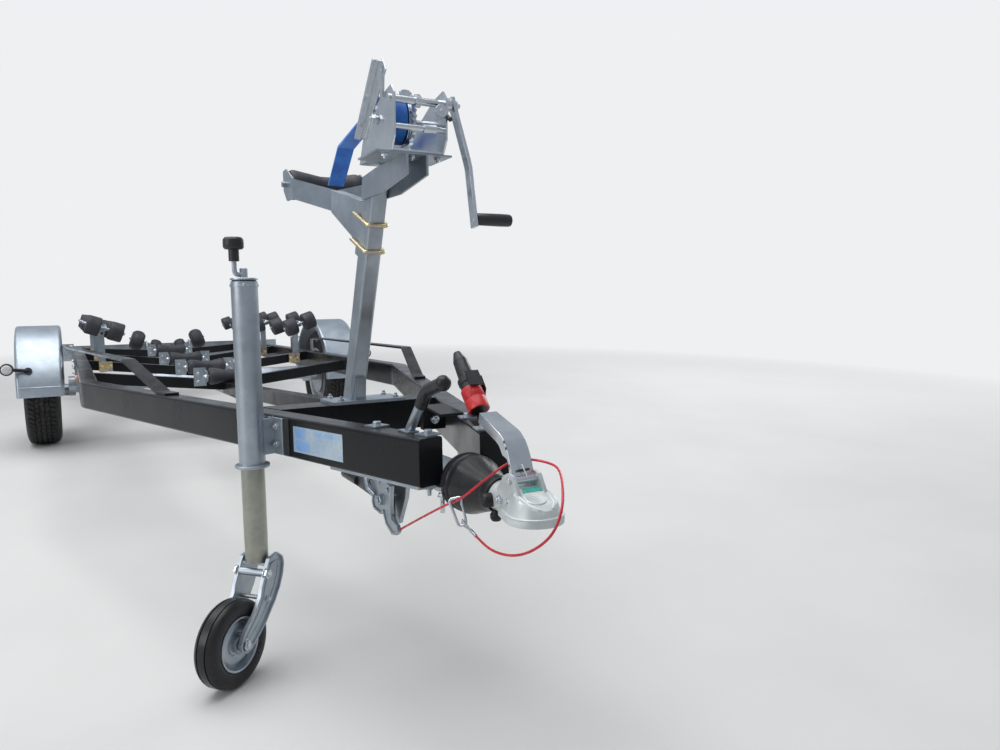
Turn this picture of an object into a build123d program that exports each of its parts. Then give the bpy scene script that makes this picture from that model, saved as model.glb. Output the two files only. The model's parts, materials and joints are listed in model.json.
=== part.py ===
from build123d import *
from math import asin, atan2, cos, hypot, pi, radians, sin, tan
import os

# Boat trailer with one braked axle, standing on its jockey wheel with the nose raised.
# Everything is built level: X forward from the rails' front ends, Y to the left,
# Z up from the rails' top face. The last section sets the trailer down on its wheels.
# All sizes are in millimetres.

# Frame rails
RAIL_WIDTH = 60
RAIL_HEIGHT = 95
RAIL_CORNER = 7
V_ANGLE = 16.5
NOSE_GAP = 78
BEND_X = -1820
BEND_RADIUS = 230
RAIL_REAR_X = -5130

# Clearances
SEAT = 0.3
RUNNING = 0.05
BEARING_GAP = 5

# Beams between the rails
WINCH_BEAM_X = -637
WINCH_BEAM_WIDTH = 95
WINCH_BEAM_HEIGHT = 80
KEEL_BEAM_WIDTH = 50
KEEL_BEAM_HEIGHT = 50
KEEL_BEAM_DROP = 8
KEEL_REAR_DROP = 12
CROSSBEAM_DEPTH = 40
CROSSBEAM_HEIGHT = 50
# Columns: x of the middle plane, top at the rails, top at the middle, rise of the roller's pin
CROSSBEAMS = [
    (-2550, -20, -87, 27),
    (-3250, -2, -70, 12),
    (-4100, -2, -68, 12),
    (-4900, -2, -45, 12),
]

# Axle and wheels
AXLE_X = -3400
AXLE_ACROSS_FLATS = 78
AXLE_SADDLE = 8
AXLE_SADDLE_LENGTH = 150
HUB_X = -3560
HUB_Z = -178
WHEEL_Y = 805
TYRE_RADIUS = 290
TYRE_WIDTH = 165
RIM_RADIUS = 165
RIM_FLANGE = 11
RIM_HALF_WIDTH = 68
RIM_THICKNESS = 3.5
DISC_OFFSET = 25
SPINDLE_RADIUS = 17
DRUM_RADIUS = 112
ARM_THICKNESS = 32
BACKPLATE_RADIUS = 116

# Mudguards
GUARD_RADIUS = 362
GUARD_WIDTH = 212
GUARD_THICKNESS = 3
GUARD_RIM = 28
GUARD_CORNER = 15
STAY_SPREAD = 240
STAY_WIDTH = 40
STAY_THICKNESS = 6

# Side bars
BAR_WIDTH = 40
BAR_THICKNESS = 8
BAR_FOOT_X = -1190
BAR_BEND_X = -1470
BAR_BEND_Z = 92
BAR_BEND_Y = 497
BAR_BEND_RADIUS = 60

# Keel rollers and their brackets
ROLLER_RADIUS = 40
ROLLER_WAIST = 29
ROLLER_LENGTH = 190
ROLLER_PIN_RADIUS = 8
ROLLER_REACH = 50
BRACKET_WIDTH = 56
BRACKET_HEIGHT = 88
BRACKET_THICKNESS = 5
STERN_REACH = 92
STERN_TILT = 20
# Columns: distance out along the tilted shaft from its middle, radius, width
STERN_DISCS = [
    (-66, 48, 72),
    (66, 75, 88),
]
STERN_SHAFT_Y = 150
STERN_SHAFT_Z = 14

# Rocking roller cradles
CRADLE_Y = 500
CRADLE_Z = 168
CRADLE_TILT = 19
CRADLE_REACH = 165
CRADLE_PIN_RADIUS = 8
ROCKER_THICKNESS = 10
ROCKER_HEIGHT = 44
ROLLER_DRUM_RADIUS = 48
ROLLER_DRUM_LENGTH = 66
ROLLER_DRUM_GAP = 21
POST_SIDE = 30
POST_OFFSET = 14
CLAMP_PLATE = (64, 54, 5)

# Winch post
POST_X = -655
POST_LEAN = 22.6
POST_DEPTH = 60
POST_WIDTH = 41
POST_WALL = 3
POST_CORNER = 7
POST_TOP_Z = 552
BASE_PLATE = (-695, -583, -80, 120, 8)
HEAD_PLATE_THICKNESS = 5
DECK_Z = 574
DECK_THICKNESS = 4

# Winch
FRAME_HALF_WIDTH = 61
FRAME_WALL = 4
DRUM_SHAFT = (-262, 656)
CRANK_SHAFT = (-184, 683)
SHAFT_RADIUS = 8
GEAR_RADIUS = 68
GEAR_TEETH = 34
GEAR_WIDTH = 8
PINION_TEETH = 7
GEAR_MESH_GAP = 0.5
TOOTH_DEPTH = 5
WEBBING_RADIUS = 49
WEBBING_Y = (-53, -7)
STRAP_THICKNESS = 2.5
STRAP_FOLD = (-560, 652)
STRAP_END = (-650, 572)
CRANK_LENGTH = 256
CRANK_Y = 88

# Bow support
ARM_PLATE = 5
ARM_WIDTH = 34
BOW_ROLLER_X = -850
BOW_ROLLER_Z = 600
BOW_ROLLER_LENGTH = 200
BOW_ROLLER_RADIUS = 41
BOW_ROLLER_WAIST = 28
YOKE_X = -740
YOKE_Z = 545
U_BOLT_RADIUS = 5
# Columns: height along the post of each clamp on the winch post
POST_CLAMPS = [425, 492]

# Overrun coupling
COUPLING_Z = -98
HOUSING_RADIUS = 37
HOUSING_REAR_X = -330
FLANGE_THICKNESS = 8
DRAW_TUBE_RADIUS = 25
BELLOWS_REAR_X = 1
BELLOWS_FRONT_X = 165
HEAD_NOSE_X = 346
HEAD_BOTTOM_Z = -138
HEAD_TOP_Z = -62
BALL_X = 292
BALL_RADIUS = 25.5
HANDLE_PIVOT = (238, -44)
HANDLE_PIN_RADIUS = 6
HANDLE_WIDTH = 38
BRAKE_PIVOT = (-225, -168)
BRAKE_LEVER_Y = (-76, -66)
BRAKE_ROD_RADIUS = 5
BRAKE_ROD_DROP = 30

# Breakaway cable: from the brake's eye through the carabiner, behind the locking handle,
# round in front of the head and back below it to the carabiner. Columns: x, y, z
CABLE_RADIUS = 2.25
CABLE_ROUTE = [
    (-138, -82, -214),
    (70, -82, -117),
    (133, -79, -94),
    (180, -60, -56),
    (206, -35, -27),
    (206, -5, -16),
    (211, 24, -17),
    (237, 41, -20),
    (277, 36, -20),
    (322, 14, -24),
    (364, -12, -36),
    (391, -32, -58),
    (393, -48, -90),
    (368, -58, -117),
    (331, -65, -139),
    (292, -71, -151),
    (236, -67, -160),
    (191, -62, -160),
    (164, -61, -154),
]
CRIMP_LENGTH = 22
CARABINER_TOP = (120, -81, -91)
CARABINER_BOTTOM = (132, -70, -141)
CARABINER_FACING = (0.865, -0.495, 0.09)
CARABINER_WIRE = 2.6

# Jockey wheel, placed from the right rail's front end
JOCKEY_BACK = 545
JOCKEY_OUT = 84
JOCKEY_TUBE_RADIUS = 30
JOCKEY_TUBE_WALL = 3
JOCKEY_TUBE_TOP = 320
JOCKEY_TUBE_BOTTOM = -118
JOCKEY_FORK_Z = -292
JOCKEY_WHEEL_RADIUS = 100
JOCKEY_WHEEL_WIDTH = 54
JOCKEY_TRAIL = 100
JOCKEY_HEADING = -50.4
JOCKEY_AXLE_Z = -506
JOCKEY_RIM_RADIUS = 62
JOCKEY_PIN_RADIUS = 8

# Lamps at the rear and on the mudguards
BOARD_HALF_LENGTH = 850
BOARD_HEIGHT = 110
BOARD_THICKNESS = 15
REAR_LAMP = (240, 96, 48)
PLATE_CARRIER = (528, 108, 4)
MARKER_Y = 943
MARKER_Z = -28
MARKER_RADIUS = 29
MARKER_THICKNESS = 26

# Values that follow from the sizes above
SLOPE = tan(radians(V_ANGLE))
HALF_CUT = RAIL_WIDTH / 2 / cos(radians(V_ANGLE))
NOSE_Y = NOSE_GAP / 2 + HALF_CUT
REAR_Y = NOSE_Y - BEND_X * SLOPE
BED_Y = REAR_Y - RAIL_WIDTH / 2
RAIL_OUTER_Y = REAR_Y + RAIL_WIDTH / 2
RAIL_MIDDLE_Z = -RAIL_HEIGHT / 2
AXLE_Z = -RAIL_HEIGHT - AXLE_SADDLE - AXLE_ACROSS_FLATS / 2
GUARD_INNER_Y = WHEEL_Y - GUARD_WIDTH / 2
RIGHT_RAIL = Plane(
    origin=(0, -NOSE_Y, 0), x_dir=(cos(radians(V_ANGLE)), sin(radians(V_ANGLE)), 0), z_dir=(0, 0, 1)
)
WINCH_POST = Plane(
    origin=(POST_X, 0, BASE_PLATE[4]),
    x_dir=(cos(radians(POST_LEAN)), 0, -sin(radians(POST_LEAN))),
    z_dir=(sin(radians(POST_LEAN)), 0, cos(radians(POST_LEAN))),
)


def rail_y(x):
    """Distance of a rail's centre line from the middle at a place along the trailer."""
    return NOSE_Y - max(x, BEND_X) * SLOPE


def crossbeam_top(row, y):
    """Height of a crossbeam's top at a distance from the middle."""
    x, rail_z, middle_z, rise = row
    return middle_z + (rail_z - middle_z) * abs(y) / BED_Y


def block(x, y, z):
    """Box between two values along each axis."""
    size = [span[1] - span[0] for span in (x, y, z)]
    middle = [(span[1] + span[0]) / 2 for span in (x, y, z)]
    return Pos(*middle) * Box(*size)


def slab(plane, points, thickness):
    """Plate with an outline of points on a plane, thick along the plane's normal."""
    face = plane * Polygon(*points, align=None)
    return extrude(face, amount=thickness, dir=plane.z_dir)


def side_plate(points, y):
    """Plate with an outline of (x, z) points, between two values across the trailer."""
    plane = Plane((0, y[0], 0), x_dir=(1, 0, 0), z_dir=(0, -1, 0))
    return extrude(plane * Polygon(*points, align=None), amount=y[1] - y[0], dir=(0, 1, 0))


def cross_plate(points, x):
    """Plate with an outline of (y, z) points, between two values along the trailer."""
    plane = Plane((x[0], 0, 0), x_dir=(0, 1, 0), z_dir=(1, 0, 0))
    return slab(plane, points, x[1] - x[0])


def flat_plate(points, z):
    """Plate with an outline of (x, y) points, between two heights."""
    return slab(Plane((0, 0, z[0])), points, z[1] - z[0])


def rod(start, end, radius):
    """Round bar between two points."""
    run = Vector(*end) - Vector(*start)
    return extrude(Plane(origin=start, z_dir=run) * Circle(radius), amount=run.length)


def bent_rod(points, radius, bend):
    """Round bar along a route with rounded corners."""
    path = FilletPolyline(*points, radius=bend)
    section = Plane(origin=path @ 0, z_dir=path % 0) * Circle(radius)
    return sweep(section, path=path)


def cord_tube(points, radius):
    """Round cord along a route, each corner's arc as large as its two runs allow."""
    corners = [Vector(*point) for point in points]
    bends = []
    for before, corner, after in zip(corners, corners[1:], corners[2:]):
        turn = radians((corner - before).get_angle(after - corner))
        bends.append(0.45 * min((corner - before).length, (after - corner).length) / tan(turn / 2))
    path = FilletPolyline(*points, radius=bends)
    print("cord's bend radii:", [round(bend) for bend in bends], "length:", round(path.length))
    section = Plane(origin=path @ 0, z_dir=path % 0) * Circle(radius)
    return sweep(section, path=path)


def ribbon(points, width, bend):
    """Outline of a strip along a flat route with rounded corners and ends."""
    path = FilletPolyline(*points, radius=bend)
    return make_face(path.offset_2d(width / 2, kind=Kind.ARC, side=Side.BOTH, closed=True).edges())


def turned(points):
    """Body turned about Z from an outline of (radius, height) points."""
    return revolve(Plane.XZ * Polygon(*points, align=None), Axis.Z)


def across(x, y, z):
    """Frame whose Z runs across the trailer, from a point."""
    return Plane((x, y, z), x_dir=(1, 0, 0), z_dir=(0, 1, 0))


def both_sides(shape):
    """A shape and its mirror image on the other side of the trailer."""
    return shape + mirror(shape, about=Plane.XZ)


nodes = {}

# Rails: box tubes that run from the coupling out to the bed width and back
for side, name in ((-1, "rail_right"), (1, "rail_left")):
    route = FilletPolyline(
        (0, side * NOSE_Y, RAIL_MIDDLE_Z),
        (BEND_X, side * REAR_Y, RAIL_MIDDLE_Z),
        (RAIL_REAR_X, side * REAR_Y, RAIL_MIDDLE_Z),
        radius=BEND_RADIUS,
    )
    start_plane = Plane(origin=route @ 0, x_dir=Vector(0, 0, 1).cross(route % 0), z_dir=route % 0)
    nodes[name] = sweep(start_plane * RectangleRounded(RAIL_WIDTH, RAIL_HEIGHT, RAIL_CORNER), path=route)

# Winch beam between the rails where they spread
winch_front = WINCH_BEAM_X + WINCH_BEAM_WIDTH / 2
winch_rear = WINCH_BEAM_X - WINCH_BEAM_WIDTH / 2
winch_corners = [
    (winch_front, -rail_y(winch_front) + HALF_CUT),
    (winch_front, rail_y(winch_front) - HALF_CUT),
    (winch_rear, rail_y(winch_rear) - HALF_CUT),
    (winch_rear, -rail_y(winch_rear) + HALF_CUT),
]
nodes["winch_beam"] = flat_plate(winch_corners, (-WINCH_BEAM_HEIGHT, 0))

# Keel beam from the winch beam back to the first crossbeam
keel_rear = CROSSBEAMS[0][0] + CROSSBEAM_DEPTH / 2
keel_rear_z = CROSSBEAMS[0][2] - KEEL_REAR_DROP
keel_outline = [
    (winch_rear, -KEEL_BEAM_DROP),
    (keel_rear, keel_rear_z),
    (keel_rear, keel_rear_z - KEEL_BEAM_HEIGHT),
    (winch_rear, -KEEL_BEAM_DROP - KEEL_BEAM_HEIGHT),
]
nodes["keel_beam"] = side_plate(keel_outline, (-KEEL_BEAM_WIDTH / 2, KEEL_BEAM_WIDTH / 2))


# Crossbeams, bent down toward the middle to make room for the keel
def crossbeam(row):
    x, rail_z, middle_z, rise = row
    outline = [
        (-BED_Y, rail_z),
        (0, middle_z),
        (BED_Y, rail_z),
        (BED_Y, rail_z - CROSSBEAM_HEIGHT),
        (0, middle_z - CROSSBEAM_HEIGHT),
        (-BED_Y, rail_z - CROSSBEAM_HEIGHT),
    ]
    return cross_plate(outline, (x - CROSSBEAM_DEPTH / 2, x + CROSSBEAM_DEPTH / 2))


nodes["crossbeams"] = Compound([crossbeam(row) for row in CROSSBEAMS])

# Axle beam under the rails, with a saddle against each rail
axle_end = RAIL_OUTER_Y + 6
axle_plane = Plane((AXLE_X, -axle_end, AXLE_Z), x_dir=(1, 0, 0), z_dir=(0, 1, 0))
axle_tube = axle_plane * RegularPolygon(AXLE_ACROSS_FLATS / 2, 6, major_radius=False)
saddle = block(
    (AXLE_X - AXLE_SADDLE_LENGTH / 2, AXLE_X + AXLE_SADDLE_LENGTH / 2),
    (BED_Y, RAIL_OUTER_Y),
    (-RAIL_HEIGHT - AXLE_SADDLE, -RAIL_HEIGHT),
)
nodes["axle_beam"] = extrude(axle_tube, amount=2 * axle_end, dir=(0, 1, 0)) + both_sides(saddle)


# Trailing arms that carry the wheel spindles and the brakes' back plates
def swing_arm():
    plane = Plane((0, axle_end, 0), x_dir=(1, 0, 0), z_dir=(0, -1, 0))
    ends = Pos(AXLE_X, AXLE_Z) * Circle(50) + Pos(HUB_X, HUB_Z) * Circle(36)
    arm = extrude(plane * make_hull(ends.edges()), amount=ARM_THICKNESS, dir=(0, 1, 0))
    plate_y = WHEEL_Y + DISC_OFFSET - 96
    spindle = rod((HUB_X, axle_end, HUB_Z), (HUB_X, WHEEL_Y + DISC_OFFSET + 14, HUB_Z), SPINDLE_RADIUS)
    collar = rod((HUB_X, axle_end, HUB_Z), (HUB_X, plate_y, HUB_Z), SPINDLE_RADIUS + 16)
    back_plate = rod((HUB_X, plate_y, HUB_Z), (HUB_X, plate_y + 4, HUB_Z), BACKPLATE_RADIUS)
    return arm + spindle + collar + back_plate


left_arm = swing_arm()
nodes["swing_arms"] = Compound([left_arm, mirror(left_arm, about=Plane.XZ)])


# Wheel rim with its brake drum, hub and cap: outlines are (radius, distance outward)
def rim():
    half = RIM_HALF_WIDTH
    lip = RIM_RADIUS + RIM_FLANGE
    wall = RIM_THICKNESS
    barrel = turned([
        (RIM_RADIUS - wall, -half), (lip, -half - wall), (lip, -half), (RIM_RADIUS, -half + wall),
        (RIM_RADIUS, -half + 28), (RIM_RADIUS - 16, -half + 44), (RIM_RADIUS - 16, half - 44),
        (RIM_RADIUS, half - 28), (RIM_RADIUS, half - wall), (lip, half), (lip, half + wall),
        (RIM_RADIUS - wall, half), (RIM_RADIUS - wall, half - 26), (RIM_RADIUS - 16 - wall, half - 43),
        (RIM_RADIUS - 16 - wall, -half + 43), (RIM_RADIUS - wall, -half + 26),
    ])
    seat = DISC_OFFSET
    disc = turned([
        (SPINDLE_RADIUS + 13, seat), (74, seat), (92, seat + 15), (112, seat + 14),
        (RIM_RADIUS - 22, seat - 16), (RIM_RADIUS - 16 - wall, seat - 17), (RIM_RADIUS - 16 - wall, seat - 21),
        (RIM_RADIUS - 24, seat - 21), (110, seat + 9), (94, seat + 10), (76, seat - wall),
        (SPINDLE_RADIUS + 13, seat - wall),
    ])
    slots = PolarLocations(122, 10) * Cylinder(11, 90)
    drum = turned([
        (SPINDLE_RADIUS + RUNNING, seat - 86), (DRUM_RADIUS + 6, seat - 86), (DRUM_RADIUS + 6, seat - 74),
        (DRUM_RADIUS, seat - 70), (DRUM_RADIUS, seat - 24), (DRUM_RADIUS - 14, seat - 8),
        (84, seat - wall), (SPINDLE_RADIUS + 13, seat - wall), (SPINDLE_RADIUS + 13, seat + 22),
        (SPINDLE_RADIUS + 8, seat + 28), (0, seat + 28), (0, seat + 15), (SPINDLE_RADIUS + RUNNING, seat + 15),
    ])
    nut = Pos(0, 0, seat) * extrude(RegularPolygon(10, 6), amount=14)
    nuts = PolarLocations(49, 4) * nut
    return barrel + (disc - slots) + drum + nuts


# Road tyre with rounded shoulders
def tyre():
    half = TYRE_WIDTH / 2
    bead = RIM_RADIUS + SEAT
    edge = RIM_HALF_WIDTH - RIM_THICKNESS - SEAT
    outline = Polygon(
        (bead, -edge), (bead + 26, -edge - 4), (RIM_RADIUS + 68, -half), (TYRE_RADIUS - 14, -half + 14),
        (TYRE_RADIUS, -half + 34), (TYRE_RADIUS, half - 34), (TYRE_RADIUS - 14, half - 14),
        (RIM_RADIUS + 68, half), (bead + 26, edge + 4), (bead, edge), align=None,
    )
    section = fillet(outline.vertices().sort_by(Axis.X)[2:], 12)
    return revolve(Plane.XZ * section, Axis.Z)


for side, hand in ((-1, "right"), (1, "left")):
    hub = Plane((HUB_X, side * WHEEL_Y, HUB_Z), x_dir=(1, 0, 0), z_dir=(0, side, 0))
    nodes["rim_" + hand] = hub.location * rim()
    nodes["tyre_" + hand] = hub.location * tyre()


# Mudguard: a half-round cover with rims turned in at both sides
def mudguard(side):
    depth = GUARD_RIM
    outer = Pos(0, GUARD_RADIUS - depth / 2) * Rectangle(GUARD_WIDTH, depth)
    outer = fillet(outer.vertices().group_by(Axis.Y)[-1], GUARD_CORNER)
    inner = Pos(0, GUARD_RADIUS - GUARD_THICKNESS - depth / 2) * Rectangle(GUARD_WIDTH - 2 * GUARD_THICKNESS, depth)
    inner = fillet(inner.vertices().group_by(Axis.Y)[-1], GUARD_CORNER - GUARD_THICKNESS)
    plane = Plane((HUB_X, side * WHEEL_Y, HUB_Z), x_dir=(0, 1, 0), z_dir=(0, 0, -1))
    return revolve(plane * (outer - inner), Axis((HUB_X, 0, HUB_Z), (0, -1, 0)), 180)


for side, hand in ((-1, "right"), (1, "left")):
    nodes["mudguard_" + hand] = mudguard(side)

# Stays from the rails out to the mudguards' inner rims
stay_top = HUB_Z + STAY_SPREAD
stays = []
for x in (HUB_X + STAY_SPREAD, HUB_X - STAY_SPREAD):
    outline = [
        (RAIL_OUTER_Y, RAIL_MIDDLE_Z - 34), (RAIL_OUTER_Y + STAY_THICKNESS, RAIL_MIDDLE_Z - 34),
        (RAIL_OUTER_Y + STAY_THICKNESS, stay_top), (GUARD_INNER_Y, stay_top),
        (GUARD_INNER_Y, stay_top + STAY_THICKNESS), (RAIL_OUTER_Y, stay_top + STAY_THICKNESS),
    ]
    stay = cross_plate(outline, (x - STAY_WIDTH / 2, x + STAY_WIDTH / 2))
    stays += [stay, mirror(stay, about=Plane.XZ)]
nodes["guard_stays"] = Compound(stays)

# Side bars from the rails up, out and back onto the front stays
bar_end_y = GUARD_INNER_Y - BAR_WIDTH / 2 - 1
bar_end_z = stay_top + STAY_THICKNESS + BAR_THICKNESS / 2
bar_route = [
    (BAR_FOOT_X + 60, rail_y(BAR_FOOT_X + 60), BAR_THICKNESS / 2),
    (BAR_FOOT_X, rail_y(BAR_FOOT_X), BAR_THICKNESS / 2),
    (BAR_BEND_X, BAR_BEND_Y, BAR_BEND_Z),
    (HUB_X + STAY_SPREAD + 20, bar_end_y, bar_end_z),
    (HUB_X + STAY_SPREAD - STAY_WIDTH, bar_end_y, bar_end_z),
]
bar_plan = ribbon([(x, y) for x, y, z in bar_route], BAR_WIDTH, BAR_BEND_RADIUS)
bar_profile = ribbon([(x, z) for x, y, z in bar_route], BAR_THICKNESS, BAR_BEND_RADIUS)
bar_side = Plane((0, BED_Y / 2, 0), x_dir=(1, 0, 0), z_dir=(0, -1, 0)) * bar_profile
side_bar = extrude(bar_plan, amount=WHEEL_Y, dir=(0, 0, 1)) & extrude(bar_side, amount=WHEEL_Y, dir=(0, 1, 0))
nodes["side_bars"] = Compound([side_bar, mirror(side_bar, about=Plane.XZ)])


# Keel rollers, narrow at the waist, each on a pin between two brackets
def keel_roller():
    half = ROLLER_LENGTH / 2
    bore = ROLLER_PIN_RADIUS + RUNNING
    return turned([
        (bore, -half), (ROLLER_RADIUS - 4, -half), (ROLLER_RADIUS, -half + 6), (ROLLER_RADIUS, -half + 22),
        (ROLLER_WAIST, -22), (ROLLER_WAIST, 22), (ROLLER_RADIUS, half - 22), (ROLLER_RADIUS, half - 6),
        (ROLLER_RADIUS - 4, half), (bore, half),
    ])


def keel_bracket(row):
    """Foot against the beam's front face and ear beside the roller."""
    x, rail_z, middle_z, rise = row
    face = x + CROSSBEAM_DEPTH / 2
    pin_x = face + ROLLER_REACH
    pin_z = middle_z + rise
    inner = ROLLER_LENGTH / 2 + BEARING_GAP
    low = pin_z - BRACKET_HEIGHT / 2 - 4
    high = pin_z + BRACKET_HEIGHT / 2 - 4
    foot = block((face, face + BRACKET_THICKNESS), (inner, inner + BRACKET_WIDTH), (low, high))
    ear_outline = [(face, low + 8), (face, high - 8), (pin_x - 8, pin_z + 22), (pin_x + 20, pin_z + 22),
                   (pin_x + 20, pin_z - 18), (pin_x - 6, pin_z - 26)]
    ear = side_plate(ear_outline, (inner, inner + BRACKET_THICKNESS))
    return foot + ear


def roller_pin(row):
    x, rail_z, middle_z, rise = row
    pin_x = x + CROSSBEAM_DEPTH / 2 + ROLLER_REACH
    pin_z = middle_z + rise
    reach = ROLLER_LENGTH / 2 + BEARING_GAP + BRACKET_THICKNESS + 9
    return rod((pin_x, -reach, pin_z), (pin_x, reach, pin_z), ROLLER_PIN_RADIUS)


keel_frames = []
for number, row in enumerate(CROSSBEAMS[:3], start=1):
    keel_frames.append(both_sides(keel_bracket(row)) + roller_pin(row))
    pin_x = row[0] + CROSSBEAM_DEPTH / 2 + ROLLER_REACH
    nodes[f"keel_roller_{number}"] = across(pin_x, 0, row[2] + row[3]).location * keel_roller()

# Stern brackets on the last crossbeam, which carry the rear keel roller and the disc shafts
stern = CROSSBEAMS[3]
stern_face = stern[0] + CROSSBEAM_DEPTH / 2
keel_frames.append(both_sides(keel_bracket(stern)) + roller_pin(stern))
nodes["keel_roller_4"] = across(stern_face + ROLLER_REACH, 0, stern[2] + stern[3]).location * keel_roller()
nodes["keel_brackets"] = Compound(keel_frames)


# Upright stern discs on short tilted shafts behind the last crossbeam
def stern_set():
    tilt = radians(STERN_TILT)
    shaft_x = stern[0] - CROSSBEAM_DEPTH / 2 - STERN_REACH
    shaft = Plane((shaft_x, STERN_SHAFT_Y, STERN_SHAFT_Z), x_dir=(1, 0, 0), z_dir=(0, cos(tilt), sin(tilt)))
    outer = STERN_DISCS[1]
    inner = STERN_DISCS[0]
    axle = Cylinder(ROLLER_PIN_RADIUS, outer[0] - inner[0] + outer[2] / 2 + inner[2] / 2 + 24)
    axle = Pos(0, 0, (outer[2] - inner[2]) / 4) * axle
    discs = []
    for place, radius, width in STERN_DISCS:
        half = width / 2
        disc = turned([
            (ROLLER_PIN_RADIUS + RUNNING, -half), (radius * 0.72, -half), (radius * 0.93, -half * 0.62),
            (radius, -half * 0.2), (radius, half * 0.2), (radius * 0.93, half * 0.62),
            (radius * 0.72, half), (ROLLER_PIN_RADIUS + RUNNING, half),
        ])
        discs.append(shaft.location * Pos(0, 0, place) * disc)
    face = stern[0] - CROSSBEAM_DEPTH / 2
    top = crossbeam_top(stern, STERN_SHAFT_Y)
    outline = [(face, top), (face, top - CROSSBEAM_HEIGHT), (shaft_x - 16, STERN_SHAFT_Z - 20),
               (shaft_x - 16, STERN_SHAFT_Z + 16), (shaft_x + 16, STERN_SHAFT_Z + 16)]
    plate = side_plate(outline, (STERN_SHAFT_Y - 4, STERN_SHAFT_Y + 4))
    return plate + shaft.location * axle, discs


stern_carrier, stern_discs = stern_set()
mirrored_discs = [mirror(disc, about=Plane.XZ) for disc in stern_discs]
nodes["stern_carriers"] = Compound([stern_carrier, mirror(stern_carrier, about=Plane.XZ)])
nodes["stern_discs"] = Compound(stern_discs + mirrored_discs)


# Posts of the rocking cradles, clamped to the crossbeams' front faces
def cradle_frame(row, side):
    """Frame on the cradle's pivot: X forward, Z outward along the tilted pin."""
    tilt = radians(CRADLE_TILT)
    x = row[0] + CROSSBEAM_DEPTH / 2 + POST_SIDE / 2
    return Plane((x, side * CRADLE_Y, CRADLE_Z), x_dir=(1, 0, 0), z_dir=(0, side * cos(tilt), sin(tilt)))


def cradle_post(row):
    """Square post beside its pivot, with two ears square to the tilted pin."""
    x = row[0] + CROSSBEAM_DEPTH / 2 + POST_SIDE / 2
    half = POST_SIDE / 2
    middle_y = CRADLE_Y + POST_OFFSET
    foot = crossbeam_top(row, middle_y) - CROSSBEAM_HEIGHT - 6
    neck = CRADLE_Z - ROCKER_HEIGHT / 2 - 12
    ear_gap = ROCKER_THICKNESS / 2 + 1
    ear_drop = ROCKER_HEIGHT / 2 + 26
    post = block((x - half, x + half), (middle_y - half, middle_y + half), (foot, neck))
    ear = Pos(0, (ear_drop - 15) / 2, ear_gap + 3) * Box(POST_SIDE, ear_drop + 15, 6)
    ears = ear + mirror(ear, about=Plane.XY)
    pin = Cylinder(CRADLE_PIN_RADIUS, 2 * (ear_gap + 9))
    return post + cradle_frame(row, 1).location * (ears + pin)


def rocking_cradle():
    """Rocker on the pin with two roller drums at each end."""
    bore = CRADLE_PIN_RADIUS + RUNNING
    half = ROCKER_THICKNESS / 2
    ends = Circle(ROCKER_HEIGHT / 2) + Pos(CRADLE_REACH, 0) * Circle(16) + Pos(-CRADLE_REACH, 0) * Circle(16)
    rocker = Pos(0, 0, -half) * extrude(make_hull(ends.edges()), amount=ROCKER_THICKNESS)
    rocker -= Cylinder(bore, 4 * ROCKER_THICKNESS)
    shaft_half = ROLLER_DRUM_GAP + ROLLER_DRUM_LENGTH + 8
    body = rocker
    for x in (-CRADLE_REACH, CRADLE_REACH):
        body += Pos(x, 0, 0) * Cylinder(9, 2 * shaft_half)
        for outward in (-1, 1):
            middle = outward * (ROLLER_DRUM_GAP + ROLLER_DRUM_LENGTH / 2)
            half_drum = ROLLER_DRUM_LENGTH / 2
            drum = turned([
                (0, -half_drum), (ROLLER_DRUM_RADIUS - 6, -half_drum), (ROLLER_DRUM_RADIUS, -half_drum + 8),
                (ROLLER_DRUM_RADIUS, half_drum - 8), (ROLLER_DRUM_RADIUS - 6, half_drum), (0, half_drum),
            ])
            body += Pos(x, 0, middle) * drum
    return body


posts = []
for number, row in enumerate(CROSSBEAMS[1:], start=1):
    post = cradle_post(row)
    posts += [post, mirror(post, about=Plane.XZ)]
    for side, hand in ((-1, "right"), (1, "left")):
        nodes[f"cradle_{hand}_{number}"] = cradle_frame(row, side).location * rocking_cradle()
nodes["cradle_posts"] = Compound(posts)

# Zinc clamp plates that hold the cradle posts to the crossbeams
clamps = []
for row in CROSSBEAMS[1:]:
    front = row[0] + CROSSBEAM_DEPTH / 2 + POST_SIDE
    middle = crossbeam_top(row, CRADLE_Y) - CROSSBEAM_HEIGHT / 2
    width, height, thickness = CLAMP_PLATE
    plate = block(
        (front, front + thickness), (CRADLE_Y - width / 2, CRADLE_Y + width / 2),
        (middle - height / 2, middle + height / 2),
    )
    clamps += [plate, mirror(plate, about=Plane.XZ)]

# U-bolts round the winch post, through the bow arm's channel behind it
arm_depth = 26
arm_rear = -POST_DEPTH / 2 - arm_depth
for height in POST_CLAMPS:
    reach = POST_WIDTH / 2 + U_BOLT_RADIUS
    front = POST_DEPTH / 2 + U_BOLT_RADIUS
    legs = [(arm_rear - 14, -reach, height), (front, -reach, height), (front, reach, height),
            (arm_rear - 14, reach, height)]
    clamps.append(WINCH_POST.location * bent_rod(legs, U_BOLT_RADIUS, 9))
nodes["clamp_plates"] = Compound(clamps)

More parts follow.
